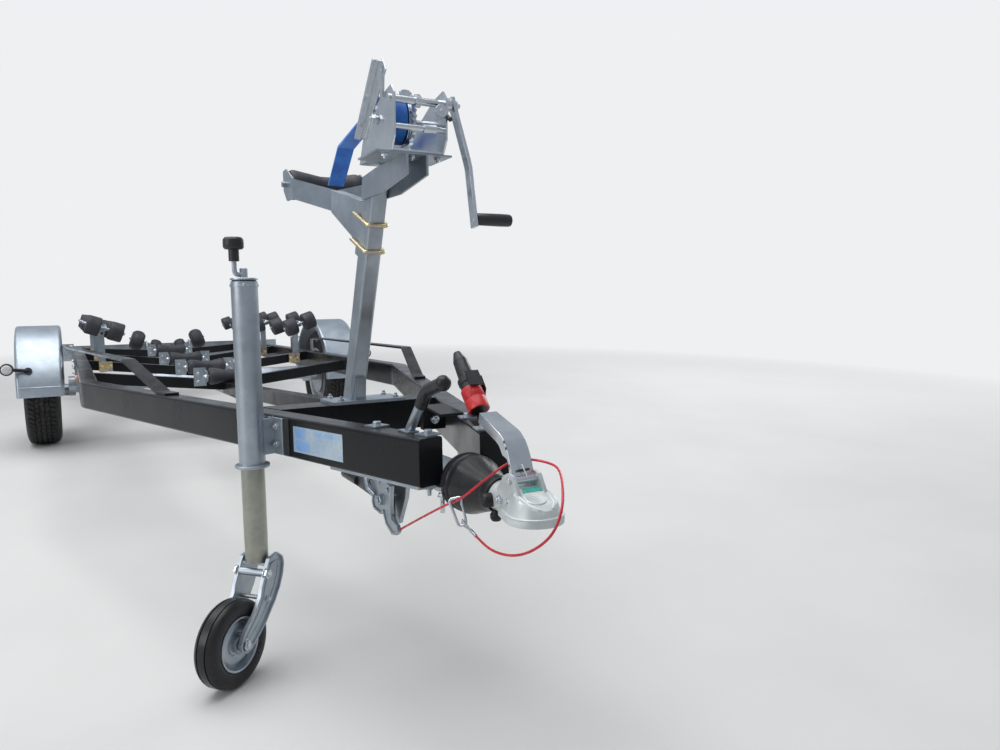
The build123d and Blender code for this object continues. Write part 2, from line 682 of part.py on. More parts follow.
# Winch post with its base plate and cranked head plates
base_x0, base_x1, base_y0, base_y1, base_top = BASE_PLATE
base_plate = block((base_x0, base_x1), (base_y0, base_y1), (0, base_top))
post_length = (POST_TOP_Z - base_top) / cos(radians(POST_LEAN)) + POST_DEPTH
tube = RectangleRounded(POST_DEPTH, POST_WIDTH, POST_CORNER)
tube -= RectangleRounded(POST_DEPTH - 2 * POST_WALL, POST_WIDTH - 2 * POST_WALL, POST_CORNER - POST_WALL)
post = extrude(Pos(0, 0, -POST_DEPTH) * tube, amount=post_length + POST_DEPTH)
post = WINCH_POST.location * post
post &= block((POST_X - 200, POST_X + 600), (-POST_WIDTH, POST_WIDTH), (base_top, POST_TOP_Z))
post_top_x = POST_X + (POST_TOP_Z - base_top) * tan(radians(POST_LEAN))
head_outline = [
    (post_top_x - 42, POST_TOP_Z - 38), (post_top_x - 34, DECK_Z - 8), (post_top_x + 60, DECK_Z),
    (-187, DECK_Z), (-187, DECK_Z - 42), (post_top_x + 90, DECK_Z - 62),
]
head_plate = side_plate(head_outline, (POST_WIDTH / 2, POST_WIDTH / 2 + HEAD_PLATE_THICKNESS))
deck = block((-300, -187), (-92, 82), (DECK_Z, DECK_Z + DECK_THICKNESS))
gusset = side_plate(
    [(POST_X + 30, base_top), (POST_X + 58, base_top), (POST_X + 58 + 8, base_top + 60), (POST_X + 50, base_top + 60)],
    (-14, 14),
)
nodes["winch_post"] = base_plate + post + both_sides(head_plate) + deck + gusset

# Winch frame: two cheeks on a floor, with spacers, and a cover over the crank shaft's brake
frame_floor = DECK_Z + DECK_THICKNESS
shaft_x, shaft_z = DRUM_SHAFT
crank_x, crank_z = CRANK_SHAFT
cheek_outline = [
    (-376, frame_floor), (-338, 650), (-226, 698), (-176, 708), (-160, 690), (-164, 604), (-182, frame_floor),
]
cheek = side_plate(cheek_outline, (FRAME_HALF_WIDTH - FRAME_WALL, FRAME_HALF_WIDTH))
cheek -= rod((crank_x, 0, crank_z), (crank_x, 100, crank_z), SHAFT_RADIUS + RUNNING)
cheek -= rod((shaft_x, 0, shaft_z), (shaft_x, 100, shaft_z), SHAFT_RADIUS + RUNNING)
floor = block((-376, -182), (-FRAME_HALF_WIDTH, FRAME_HALF_WIDTH), (frame_floor, frame_floor + FRAME_WALL))
spacers = []
for x, z in ((-176, 626), (-345, 604)):
    spacers.append(rod((x, -FRAME_HALF_WIDTH, z), (x, FRAME_HALF_WIDTH, z), 6))
pawl = side_plate([(-226, 690), (-212, 690), (-204, 752), (-214, 754)], (-66, -FRAME_HALF_WIDTH))
nodes["winch_frame"] = both_sides(cheek) + floor + spacers + pawl


# Gear wheel with straight teeth, as an outline of (x, y) points
def gear_outline(radius, teeth, depth):
    points = []
    for tooth in range(teeth):
        for share, reach in ((-0.3, 0), (-0.14, depth), (0.14, depth), (0.3, 0)):
            angle = 2 * pi * (tooth + share) / teeth
            points.append(((radius - depth + reach) * cos(angle), (radius - depth + reach) * sin(angle)))
    return points


gear = extrude(Polygon(*gear_outline(GEAR_RADIUS, GEAR_TEETH, TOOTH_DEPTH), align=None), amount=GEAR_WIDTH)
drum_frame = across(shaft_x, 0, shaft_z)
flange = Cylinder(WEBBING_RADIUS + 5, 3)
drum_shaft = Cylinder(SHAFT_RADIUS, 2 * FRAME_HALF_WIDTH + 12)
core = Pos(0, 0, sum(WEBBING_Y) / 2) * Cylinder(20, WEBBING_Y[1] - WEBBING_Y[0] + 4)
drum = drum_shaft + core + Pos(0, 0, WEBBING_Y[0] - 2) * Cylinder(30, 3)
drum += Pos(0, 0, WEBBING_Y[1] + 2) * flange + Pos(0, 0, WEBBING_Y[1] + 4) * gear
nodes["winch_drum"] = drum_frame.location * drum
webbing = Cylinder(WEBBING_RADIUS, WEBBING_Y[1] - WEBBING_Y[0] - 2) - Cylinder(20 + SEAT, 90)
nodes["winch_webbing"] = drum_frame.location * Pos(0, 0, sum(WEBBING_Y) / 2) * webbing

# Crank with its shaft and pinion, and the grip at its end
mesh_distance = hypot(crank_x - shaft_x, crank_z - shaft_z)
pinion_radius = mesh_distance - GEAR_RADIUS - GEAR_MESH_GAP
pinion = extrude(Polygon(*gear_outline(pinion_radius, PINION_TEETH, 3), align=None), amount=GEAR_WIDTH + 4)
crank_frame = across(crank_x, 0, crank_z)
shaft_middle = (CRANK_Y + 8 - FRAME_HALF_WIDTH - 4) / 2
crank_shaft = Pos(0, 0, shaft_middle) * Cylinder(SHAFT_RADIUS, CRANK_Y + 8 + FRAME_HALF_WIDTH + 4)
crank_end = (crank_x + 34, crank_z - CRANK_LENGTH + 4)
crank_elbow = (crank_x + 20, crank_z - CRANK_LENGTH / 2)
crank_arm = side_plate(
    [(crank_x - 12, crank_z + 6), (crank_x + 10, crank_z + 12), (crank_elbow[0] + 12, crank_elbow[1]),
     (crank_end[0] + 11, crank_end[1] - 8), (crank_end[0] - 11, crank_end[1] - 8), (crank_elbow[0] - 11, crank_elbow[1])],
    (CRANK_Y, CRANK_Y + 8),
)
grip_pin = rod((crank_end[0], CRANK_Y, crank_end[1]), (crank_end[0], CRANK_Y + 128, crank_end[1]), 6)
collar = rod((crank_x, FRAME_HALF_WIDTH + 1, crank_z), (crank_x, CRANK_Y, crank_z), 22)
nodes["winch_crank"] = crank_frame.location * (crank_shaft + Pos(0, 0, WEBBING_Y[1] + 2) * pinion)
nodes["winch_crank"] += crank_arm + grip_pin + collar
grip = turned([(6 + SEAT, 0), (11, 0), (14, 12), (12.5, 55), (14, 98), (11, 110), (6 + SEAT, 110)])
nodes["crank_grip"] = across(crank_end[0], CRANK_Y + 12, crank_end[1]).location * grip

# Winch strap from the top of the drum back over the post and down to the bow arm
strap_y = (WEBBING_Y[0] + 2, WEBBING_Y[1] - 2)
wound = WEBBING_RADIUS + SEAT
fold_x, fold_z = STRAP_FOLD
fold_run = hypot(fold_x - shaft_x, fold_z - shaft_z)
strap_slope = atan2(shaft_z - fold_z, shaft_x - fold_x) + asin(wound / fold_run)
leave_x = shaft_x - wound * sin(strap_slope)
leave_z = shaft_z + wound * cos(strap_slope)
strap_outline = [
    (leave_x, leave_z), (fold_x, fold_z), (STRAP_END[0], STRAP_END[1]),
    (STRAP_END[0] - STRAP_THICKNESS, STRAP_END[1] + STRAP_THICKNESS), (fold_x - 1, fold_z + 2 * STRAP_THICKNESS),
    (leave_x - STRAP_THICKNESS * sin(strap_slope), leave_z + STRAP_THICKNESS * cos(strap_slope)),
]
nodes["winch_strap"] = side_plate(strap_outline, strap_y)

# Bow arm: channel on the back of the post, cranked plates, yoke and ears for the roller
channel_low = POST_CLAMPS[0] - 34
channel_high = POST_CLAMPS[1] + 34
channel = block((arm_rear, -POST_DEPTH / 2), (-ARM_WIDTH / 2, ARM_WIDTH / 2), (channel_low, channel_high))
channel -= block((arm_rear + ARM_PLATE, -POST_DEPTH / 2), (-ARM_WIDTH / 2 + ARM_PLATE, ARM_WIDTH / 2 - ARM_PLATE),
                 (channel_low, channel_high))
channel = WINCH_POST.location * channel
channel_top = (WINCH_POST.location * Pos(arm_rear, 0, channel_high)).position
channel_mid = (WINCH_POST.location * Pos(arm_rear, 0, channel_low + 30)).position
arm_outline = [
    (channel_top.X + 4, channel_top.Z), (channel_mid.X + 4, channel_mid.Z), (YOKE_X, YOKE_Z - 30), (YOKE_X, YOKE_Z + 30),
]
arm = side_plate(arm_outline, (-ARM_WIDTH / 2, ARM_WIDTH / 2))
ear_x = BOW_ROLLER_X + 64
ear_y = BOW_ROLLER_LENGTH / 2 + BEARING_GAP
yoke_half = 30
near = Plane((YOKE_X, 0, YOKE_Z), x_dir=(1, 0, 0), z_dir=(0, 1, 0)) * Rectangle(ARM_PLATE, 2 * yoke_half)
far = Plane((ear_x, ear_y + ARM_PLATE, YOKE_Z + 35), x_dir=(1, 0, 0), z_dir=(0, 1, 0)) * Rectangle(ARM_PLATE, 54)
yoke = loft(Sketch() + [near, far])
ear = side_plate(
    [(ear_x + 2.5, BOW_ROLLER_Z - 47), (ear_x + 2.5, BOW_ROLLER_Z + 7), (ear_x - 20, BOW_ROLLER_Z + 20),
     (ear_x - 60, BOW_ROLLER_Z + 42), (ear_x - 92, BOW_ROLLER_Z + 40), (ear_x - 92, BOW_ROLLER_Z - 14),
     (ear_x - 60, BOW_ROLLER_Z - 46)],
    (ear_y, ear_y + ARM_PLATE),
)
bow_pin = rod((BOW_ROLLER_X, -ear_y - 16, BOW_ROLLER_Z), (BOW_ROLLER_X, ear_y + 16, BOW_ROLLER_Z), ROLLER_PIN_RADIUS)
nodes["bow_arm"] = channel + arm + both_sides(yoke + ear) + bow_pin
half = BOW_ROLLER_LENGTH / 2
bow_roller = turned([
    (ROLLER_PIN_RADIUS + RUNNING, -half), (BOW_ROLLER_RADIUS - 3, -half), (BOW_ROLLER_RADIUS, -half + 6),
    (BOW_ROLLER_RADIUS, -half + 14), (BOW_ROLLER_WAIST, -12), (BOW_ROLLER_WAIST, 12),
    (BOW_ROLLER_RADIUS, half - 14), (BOW_ROLLER_RADIUS, half - 6), (BOW_ROLLER_RADIUS - 3, half),
    (ROLLER_PIN_RADIUS + RUNNING, half),
])
nodes["bow_roller"] = across(BOW_ROLLER_X, 0, BOW_ROLLER_Z).location * bow_roller

# Overrun housing: tube between the rails, bolted to them from below through one flange
housing = rod((HOUSING_REAR_X, 0, COUPLING_Z), (0, 0, COUPLING_Z), HOUSING_RADIUS)
flange_z = (-RAIL_HEIGHT - FLANGE_THICKNESS, -RAIL_HEIGHT)
flange_half = [
    (-12, 0), (-12, rail_y(-12) + 20), (-300, rail_y(-300) + 20), (-300, rail_y(-300) - 24),
    (-205, rail_y(-205) - 24), (-205, 0),
]
housing += both_sides(flat_plate(flange_half, flange_z))
pivot_x, pivot_z = BRAKE_PIVOT
brake_ear = side_plate(
    [(pivot_x - 18, pivot_z - 12), (pivot_x - 18, COUPLING_Z), (pivot_x + 40, COUPLING_Z), (pivot_x + 18, pivot_z - 12)],
    (-58, -50),
)
bridge = block((pivot_x - 18, pivot_x + 40), (-58, 0), (COUPLING_Z - 30, COUPLING_Z - 4))
brake_pin = rod((pivot_x, -88, pivot_z), (pivot_x, -50, pivot_z), 7)
eye_outline = [
    (pivot_x - 14, pivot_z + 8), (pivot_x + 10, pivot_z + 14), (pivot_x + 78, pivot_z - 38),
    (pivot_x + 74, pivot_z - 60), (pivot_x + 58, pivot_z - 62), (pivot_x - 10, pivot_z - 16),
]
eye_plate = side_plate(eye_outline, (-88, -83))
cable_start = Vector(*CABLE_ROUTE[0])
cable_along = (Vector(*CABLE_ROUTE[1]) - cable_start).normalized()
cable_sleeve = rod(cable_start - cable_along * CRIMP_LENGTH, cable_start, CABLE_RADIUS + 1.5)
nodes["overrun_housing"] = housing + brake_ear + bridge + brake_pin + eye_plate + cable_sleeve

# Rubber bellows round the draw tube
bellows_profile = [
    (0, 0, 44), (0, 10, 57), (0, 18, 58), (0, 23, 51), (0, 28, 58), (0, 34, 58), (0, 39, 51), (0, 44, 57),
    (0, 54, 56), (0, 110, 41), (0, 150, 35), (0, 164, 34),
]
bellows_points = [(DRAW_TUBE_RADIUS + SEAT, 0)] + [(r, along) for zero, along, r in bellows_profile]
bellows_points += [(DRAW_TUBE_RADIUS + SEAT, BELLOWS_FRONT_X - BELLOWS_REAR_X)]
bellows_frame = Plane((BELLOWS_REAR_X, 0, COUPLING_Z), x_dir=(0, 1, 0), z_dir=(1, 0, 0))
nodes["bellows"] = bellows_frame.location * turned(bellows_points)

# Coupling head with its ball cup and the pin of the locking handle
draw_tube = rod((0, 0, COUPLING_Z), (BELLOWS_FRONT_X + 40, 0, COUPLING_Z), DRAW_TUBE_RADIUS)
neck = rod((BELLOWS_FRONT_X + 1, 0, COUPLING_Z), (BELLOWS_FRONT_X + 60, 0, COUPLING_Z), 34)
head_face = Plane((0, 0, HEAD_BOTTOM_Z)) * make_hull(
    (Pos(BALL_X, 0) * Circle(HEAD_NOSE_X - BALL_X) + Pos(BELLOWS_FRONT_X + 55, 0) * Rectangle(24, 66)).edges()
)
head = extrude(head_face, amount=HEAD_TOP_Z - HEAD_BOTTOM_Z)
head = fillet(head.edges().group_by(Axis.Z)[-1], 18)
ball_z = HEAD_BOTTOM_Z + 22
head -= Pos(BALL_X, 0, ball_z) * Sphere(BALL_RADIUS)
head -= rod((BALL_X, 0, HEAD_BOTTOM_Z - 1), (BALL_X, 0, ball_z), BALL_RADIUS)
handle_x, handle_z = HANDLE_PIVOT
lug = side_plate(
    [(handle_x - 13, HEAD_TOP_Z - 8), (handle_x + 15, HEAD_TOP_Z - 8), (handle_x + 9, handle_z + 10),
     (handle_x - 9, handle_z + 10)],
    (HANDLE_WIDTH / 2 + 1, HANDLE_WIDTH / 2 + 7),
)
handle_pin = rod((handle_x, -HANDLE_WIDTH / 2 - 10, handle_z), (handle_x, HANDLE_WIDTH / 2 + 10, handle_z), HANDLE_PIN_RADIUS)
nodes["coupling_head"] = draw_tube + neck + head + both_sides(lug) + handle_pin

# Locking handle, a curved lever that leans back over the bellows
barrel = turned([(HANDLE_PIN_RADIUS + RUNNING, -19), (10, -19), (10, 19), (HANDLE_PIN_RADIUS + RUNNING, 19)])
handle_route = FilletPolyline(
    (handle_x - 3, 0, handle_z + 8), (handle_x - 22, 0, handle_z + 48), (handle_x - 60, 0, handle_z + 84),
    (112, 0, 57), radius=24,
)
handle_plane = Plane(origin=handle_route @ 0, x_dir=(0, 1, 0), z_dir=handle_route % 0)
lever = sweep(handle_plane * Rectangle(HANDLE_WIDTH, 7), path=handle_route)
nodes["coupling_handle"] = across(handle_x, 0, handle_z).location * barrel + lever

# Handbrake lever lying back beneath the frame
brake_y0, brake_y1 = BRAKE_LEVER_Y
lever_hull = Pos(pivot_x, pivot_z) * Circle(20) + Pos(pivot_x - 300, pivot_z + 2) * Circle(9)
lever_plane = Plane((0, brake_y0, 0), x_dir=(1, 0, 0), z_dir=(0, -1, 0))
lever = extrude(lever_plane * make_hull(lever_hull.edges()), amount=brake_y1 - brake_y0, dir=(0, 1, 0))
cam_hull = Pos(pivot_x, pivot_z) * Circle(20) + Pos(pivot_x + 12, pivot_z - 46) * Circle(9)
lever += extrude(lever_plane * make_hull(cam_hull.edges()), amount=brake_y1 - brake_y0, dir=(0, 1, 0))
lever += rod((pivot_x - 300, -71, pivot_z + 2), (pivot_x - 200, -71, pivot_z + 1), 13)
lever -= rod((pivot_x, -100, pivot_z), (pivot_x, -40, pivot_z), 7 + RUNNING)
nodes["handbrake_lever"] = lever

# Brake rod from the housing back to the axle
rod_front = (HOUSING_REAR_X, 0, COUPLING_Z - BRAKE_ROD_DROP)
axle_bottom = AXLE_Z - AXLE_ACROSS_FLATS / 2
rod_rear = (AXLE_X + 56, 0, axle_bottom + 12)
equaliser = block((AXLE_X - 20, AXLE_X + 58), (-40, 40), (axle_bottom - 6, axle_bottom))
equaliser += block((AXLE_X + 52, AXLE_X + 58), (-40, 40), (axle_bottom - 6, axle_bottom + 26))
nodes["brake_rod"] = rod(rod_front, rod_rear, BRAKE_ROD_RADIUS) + equaliser

# Breakaway cable, and the carabiner with the eye and crimp at the cable's end
nodes["breakaway_cable"] = cord_tube(CABLE_ROUTE, CABLE_RADIUS)
cable_end = Vector(*CABLE_ROUTE[-1])
crimp_along = (cable_end - Vector(*CABLE_ROUTE[-2])).normalized()
crimp_end = cable_end + crimp_along * CRIMP_LENGTH
hook_top = Vector(*CARABINER_TOP)
hook_bottom = Vector(*CARABINER_BOTTOM)
hook_length = (hook_bottom - hook_top).length
hook_frame = Plane(origin=hook_top, x_dir=hook_bottom - hook_top, z_dir=CARABINER_FACING)
hook_route = [
    (16, 9), (2, 13), (0, -11), (hook_length - 2, -8), (hook_length, 6), (hook_length - 14, 8),
]
hook_wire = bent_rod([(x, y, 0) for x, y in hook_route], CARABINER_WIRE, 5)
hook_gate = rod((14, 9.5, 0), (hook_length - 12, 8, 0), CARABINER_WIRE - 0.4)
crimp = rod(cable_end, crimp_end + crimp_along * 2, CABLE_RADIUS + 1)
eye_top = hook_bottom + (hook_top - hook_bottom).normalized() * 6
eye_side = crimp_along.cross(Vector(0, 1, 0)).normalized() * 5
eye = rod(crimp_end, eye_top + eye_side, 1.5) + rod(crimp_end, eye_top - eye_side, 1.5)
eye += rod(eye_top - eye_side * 1.2, eye_top + eye_side * 1.2, 1.5)
nodes["carabiner"] = hook_frame.location * (hook_wire + hook_gate) + crimp + eye

# Manoeuvring handle on the right rail
foot_x = -106
foot_y = -rail_y(foot_x) + 14
nodes["manoeuvre_handle"] = bent_rod(
    [(foot_x, foot_y, 3), (foot_x, foot_y + 4, 66), (foot_x + 36, foot_y + 14, 98), (foot_x + 126, foot_y + 30, 106)],
    9, 16,
) + block((foot_x - 20, foot_x + 20), (foot_y - 16, foot_y + 16), (0, 5))

# Jockey wheel clamp on the right rail's outer face
tube_x = -JOCKEY_BACK
tube_y = -JOCKEY_OUT
ring = Pos(tube_x, tube_y, -34) * Cylinder(JOCKEY_TUBE_RADIUS + 8, 84)
web = block((tube_x - 24, tube_x + 24), (tube_y, -RAIL_WIDTH / 2 - 6), (-76, 8))
backing = block((tube_x - 52, tube_x + 52), (-RAIL_WIDTH / 2 - 6, -RAIL_WIDTH / 2), (-80, -10))
screw = rod((tube_x, tube_y - 34, -34), (tube_x, tube_y - 66, -34), 7)
clamp_handle = rod((tube_x - 44, tube_y - 62, -34), (tube_x + 44, tube_y - 62, -34), 5)
clamp = ring + web + backing + screw + clamp_handle - Pos(tube_x, tube_y, -34) * Cylinder(JOCKEY_TUBE_RADIUS, 200)
nodes["jockey_clamp"] = RIGHT_RAIL.location * clamp

# Jockey tubes: the outer one with a foot ring and a closed top, the inner one sliding in it
jockey_axis = RIGHT_RAIL.location * Pos(tube_x, tube_y, 0)
outer_r = JOCKEY_TUBE_RADIUS
bore_r = outer_r - JOCKEY_TUBE_WALL
bottom = JOCKEY_TUBE_BOTTOM
top = JOCKEY_TUBE_TOP
outer_tube = turned([
    (bore_r, bottom), (outer_r + 8, bottom), (outer_r + 8, bottom + 8), (outer_r, bottom + 8), (outer_r, top - 4),
    (outer_r - 5, top), (0, top), (0, top - 5), (bore_r, top - 5),
])
nodes["jockey_outer_tube"] = jockey_axis * outer_tube
crank_path = [(0, 0, top), (0, 0, top + 24), (0, -34, top + 34), (0, -34, top + 56)]
knob = Pos(0, -34, top + 82) * Cylinder(14, 54)
nodes["jockey_crank"] = jockey_axis * (bent_rod(crank_path, 7, 8) + fillet(knob.edges(), 5))
inner_r = bore_r - RUNNING - 0.05
kingpin_r = 11
fork_top = JOCKEY_FORK_Z
inner_tube = turned([
    (kingpin_r + RUNNING, fork_top), (inner_r, fork_top), (inner_r, fork_top + 412), (inner_r - 3, fork_top + 412),
    (inner_r - 3, fork_top + 12), (kingpin_r + RUNNING, fork_top + 12),
])
nodes["jockey_inner_tube"] = jockey_axis * inner_tube

# Jockey fork: head, kingpin and two curved blades, in a frame that trails toward +X
heading = radians(JOCKEY_HEADING)
fork_frame = Plane(
    origin=jockey_axis.position, x_dir=(cos(heading), sin(heading), 0), z_dir=(0, 0, 1)
)
head_z = fork_top - SEAT
blade_gap = JOCKEY_WHEEL_WIDTH / 2 + BEARING_GAP + 1
blade = BRACKET_THICKNESS
head_plate = block((-30, 34), (-blade_gap - blade, blade_gap + blade), (head_z - 6, head_z))
kingpin = rod((0, 0, head_z - 2), (0, 0, head_z + 11), kingpin_r)
blade_outline = [
    (-30, head_z), (34, head_z), (46, head_z - 60), (JOCKEY_TRAIL + 20, JOCKEY_AXLE_Z + 40),
    (JOCKEY_TRAIL + 22, JOCKEY_AXLE_Z - 8), (JOCKEY_TRAIL + 8, JOCKEY_AXLE_Z - 21), (JOCKEY_TRAIL - 12, JOCKEY_AXLE_Z - 21),
    (JOCKEY_TRAIL - 26, JOCKEY_AXLE_Z), (20, head_z - 110), (-16, head_z - 70),
]
fork = head_plate + kingpin
for side in (-1, 1):
    fork += side_plate(blade_outline, sorted((side * blade_gap, side * (blade_gap + blade))))
axle_half = blade_gap + blade + 9
fork += rod((JOCKEY_TRAIL, -axle_half, JOCKEY_AXLE_Z), (JOCKEY_TRAIL, axle_half, JOCKEY_AXLE_Z), JOCKEY_PIN_RADIUS)
nodes["jockey_fork"] = fork_frame.location * fork

# Jockey wheel: dished steel rim and solid tyre
half = JOCKEY_WHEEL_WIDTH / 2
jockey_hub = fork_frame.location * across(JOCKEY_TRAIL, 0, JOCKEY_AXLE_Z).location
bore = JOCKEY_PIN_RADIUS + RUNNING
jockey_rim = turned([
    (bore, -half), (18, -half), (18, -14), (JOCKEY_RIM_RADIUS - 8, -10), (JOCKEY_RIM_RADIUS - 4, -half + 3),
    (JOCKEY_RIM_RADIUS, -half + 3), (JOCKEY_RIM_RADIUS, half - 3), (JOCKEY_RIM_RADIUS - 4, half - 3),
    (JOCKEY_RIM_RADIUS - 8, 10), (18, 14), (18, half), (bore, half),
])
nodes["jockey_rim"] = jockey_hub * jockey_rim
tyre_in = JOCKEY_RIM_RADIUS + SEAT
tyre_out = JOCKEY_WHEEL_RADIUS
jockey_tyre = turned([
    (tyre_in, -half + 2), (tyre_in + 12, -half), (tyre_out - 12, -half), (tyre_out - 3, -half + 8), (tyre_out, -half + 16),
    (tyre_out, half - 16), (tyre_out - 3, half - 8), (tyre_out - 12, half), (tyre_in + 12, half), (tyre_in, half - 2),
])
nodes["jockey_tyre"] = jockey_hub * jockey_tyre

# Plug parked in its holder on the left rail
plug_end = (-281, 130, 142)
plug_mouth = (-173, 130, 17)
axis = Vector(*plug_mouth) - Vector(*plug_end)
plug_frame = Plane(origin=plug_mouth, x_dir=(0, 1, 0), z_dir=axis * -1)
plug_profile = [(0, 0), (24, 0), (24, 30), (22, 34), (22, 70), (24, 74), (24, 86), (19, 92), (17, 140), (9, 164), (0, 164)]
nodes["plug"] = plug_frame.location * turned(plug_profile)
holder_outline = [(-262, 0), (-205, 0), (-190, 64), (-212, 92)]
holder_y = 130 + 24 + SEAT
nodes["plug_holder"] = side_plate(holder_outline, (holder_y, holder_y + 4)) + block((-262, -205), (112, holder_y + 4), (0, 4))

# Rear lamp board across the rails' rear ends, and its lamps
board_rear = RAIL_REAR_X - BOARD_THICKNESS
board_z = (-BOARD_HEIGHT + 5, 5)
board = block((board_rear, RAIL_REAR_X), (-BOARD_HALF_LENGTH, BOARD_HALF_LENGTH), board_z)
plate_rear = board_rear - PLATE_CARRIER[2]
plate_carrier = block(
    (plate_rear, board_rear), (-PLATE_CARRIER[0] / 2, PLATE_CARRIER[0] / 2),
    (sum(board_z) / 2 - PLATE_CARRIER[1] / 2, sum(board_z) / 2 + PLATE_CARRIER[1] / 2),
)
nodes["lamp_board"] = board + plate_carrier
lamp_width, lamp_height, lamp_depth = REAR_LAMP
lamp_y = (BOARD_HALF_LENGTH - lamp_width - 10, BOARD_HALF_LENGTH - 10)
lamp_middle = sum(board_z) / 2
lamp = block((board_rear - lamp_depth, board_rear), lamp_y, (lamp_middle - lamp_height / 2, lamp_middle + lamp_height / 2))
nodes["rear_lamps"] = Compound([lamp, mirror(lamp, about=Plane.XZ)])


# Marker lamps on rubber arms at the mudguards' front
def marker():
    angle = asin((MARKER_Z - 15 - HUB_Z) / GUARD_RADIUS)
    root = Vector(HUB_X + GUARD_RADIUS * cos(angle), WHEEL_Y + 48, MARKER_Z - 15)
    outward = Vector(cos(angle), 0, sin(angle))
    tip = Vector(root.X + 34, MARKER_Y, MARKER_Z)
    base = rod(root, root + outward * 9, 18)
    arm = rod(root + outward * 9, tip, 9) + Pos(*(root + outward * 9)) * Sphere(9)
    half = Vector(MARKER_THICKNESS / 2, 0, 0)
    return base + arm + rod(tip - half, tip + half, MARKER_RADIUS)


marker_left = marker()
nodes["marker_lamps"] = Compound([marker_left, mirror(marker_left, about=Plane.XZ)])

# The ground touches both road tyres and the jockey tyre, so the nose stands a little high
jockey_centre = jockey_hub.position
run = HUB_X - jockey_centre.X
drop = HUB_Z - jockey_centre.Z
nose_up = pi - asin((TYRE_RADIUS - JOCKEY_WHEEL_RADIUS) / hypot(run, drop)) - atan2(drop, run)
ground = HUB_X * sin(nose_up) + HUB_Z * cos(nose_up) - TYRE_RADIUS
level = Pos(0, 0, -ground) * Rot(0, -nose_up * 180 / pi, 0)
box = (level * Compound(list(nodes.values()))).bounding_box()
PARKED = Pos(-(box.min.X + box.max.X) / 2, 0, 0) * level

os.makedirs("parts", exist_ok=True)
for name, shape in nodes.items():
    export_step(PARKED * shape, f"parts/{name}.step")
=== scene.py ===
"""Boat trailer: finishes, fastenings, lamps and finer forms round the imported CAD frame.

Places are in the part's own level frame: X forward from the rails' front ends, Y to the left,
Z up from the rails' top. They are in metres, and in millimetres where a table goes through
millimetres(), turned() or rod(). PARKED turns that frame nose up onto the floor.
"""

import json
from math import atan2, cos, pi, radians, sin

import bmesh
import bpy
from mathutils import Matrix, Vector, geometry


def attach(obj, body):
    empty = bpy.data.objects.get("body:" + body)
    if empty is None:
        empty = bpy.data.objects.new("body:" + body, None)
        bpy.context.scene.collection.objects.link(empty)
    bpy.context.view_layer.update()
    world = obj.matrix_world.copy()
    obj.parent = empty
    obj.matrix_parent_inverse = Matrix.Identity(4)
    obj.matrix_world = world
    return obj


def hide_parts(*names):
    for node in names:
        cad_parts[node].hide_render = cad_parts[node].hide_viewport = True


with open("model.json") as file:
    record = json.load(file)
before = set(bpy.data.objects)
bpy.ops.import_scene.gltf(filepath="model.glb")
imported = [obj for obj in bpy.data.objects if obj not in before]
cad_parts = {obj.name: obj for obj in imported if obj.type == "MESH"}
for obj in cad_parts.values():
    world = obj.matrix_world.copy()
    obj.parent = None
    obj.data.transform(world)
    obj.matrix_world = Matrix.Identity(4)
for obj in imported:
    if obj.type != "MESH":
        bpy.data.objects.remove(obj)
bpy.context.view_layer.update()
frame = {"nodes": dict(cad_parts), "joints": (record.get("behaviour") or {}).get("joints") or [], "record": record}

# Camera, fitted to the photograph: 1000 by 750 pixels
CAMERA_PLACE = (1.3173, -0.666, 0.2506)
CAMERA_YAW = radians(29.73)
CAMERA_DOWN = radians(5.22)
CAMERA_ROLL = radians(-0.94)
CAMERA_LENS = 27.16
CAMERA_SENSOR = 36

# Directions
FORWARD, BACK = (1, 0, 0), (-1, 0, 0)
LEFT, RIGHT = (0, 1, 0), (0, -1, 0)
UP, DOWN = (0, 0, 1), (0, 0, -1)

# Frame
V_SLOPE = 0.29621
NOSE_Y = 0.07029
RAIL_WIDTH = 0.06
RAIL_HEIGHT = 0.095
REAR_Y = 0.60939
RAIL_FACE_Y = REAR_Y + RAIL_WIDTH / 2
BED_Y = REAR_Y - RAIL_WIDTH / 2

# Road wheels, and the locking handle's pivot
HUB = Vector((-3.56, 0.805, -0.178))
TYRE_RADIUS = 0.29
HANDLE_PIVOT = Vector((0.238, 0, -0.044))


def joint_place(name):
    """A joint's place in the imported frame."""
    return Vector(next(joint["pos_m"] for joint in frame["joints"] if joint["name"] == name))


def parked():
    """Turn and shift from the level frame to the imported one, from two joints' places."""
    hub = joint_place("wheel_left_spin")
    pivot = joint_place("coupling_handle_lift")
    level = HANDLE_PIVOT - HUB
    nose_up = atan2(pivot.z - hub.z, pivot.x - hub.x) - atan2(level.z, level.x)
    turn = Matrix.Rotation(-nose_up, 4, "Y")
    return Matrix.Translation(Vector((hub.x, 0, hub.z)) - turn @ Vector((HUB.x, 0, HUB.z))) @ turn


PARKED = parked()


def add_object(name, data):
    """Makes an object and puts it into the scene."""
    made = bpy.data.objects.new(name, data)
    bpy.context.scene.collection.objects.link(made)
    return made


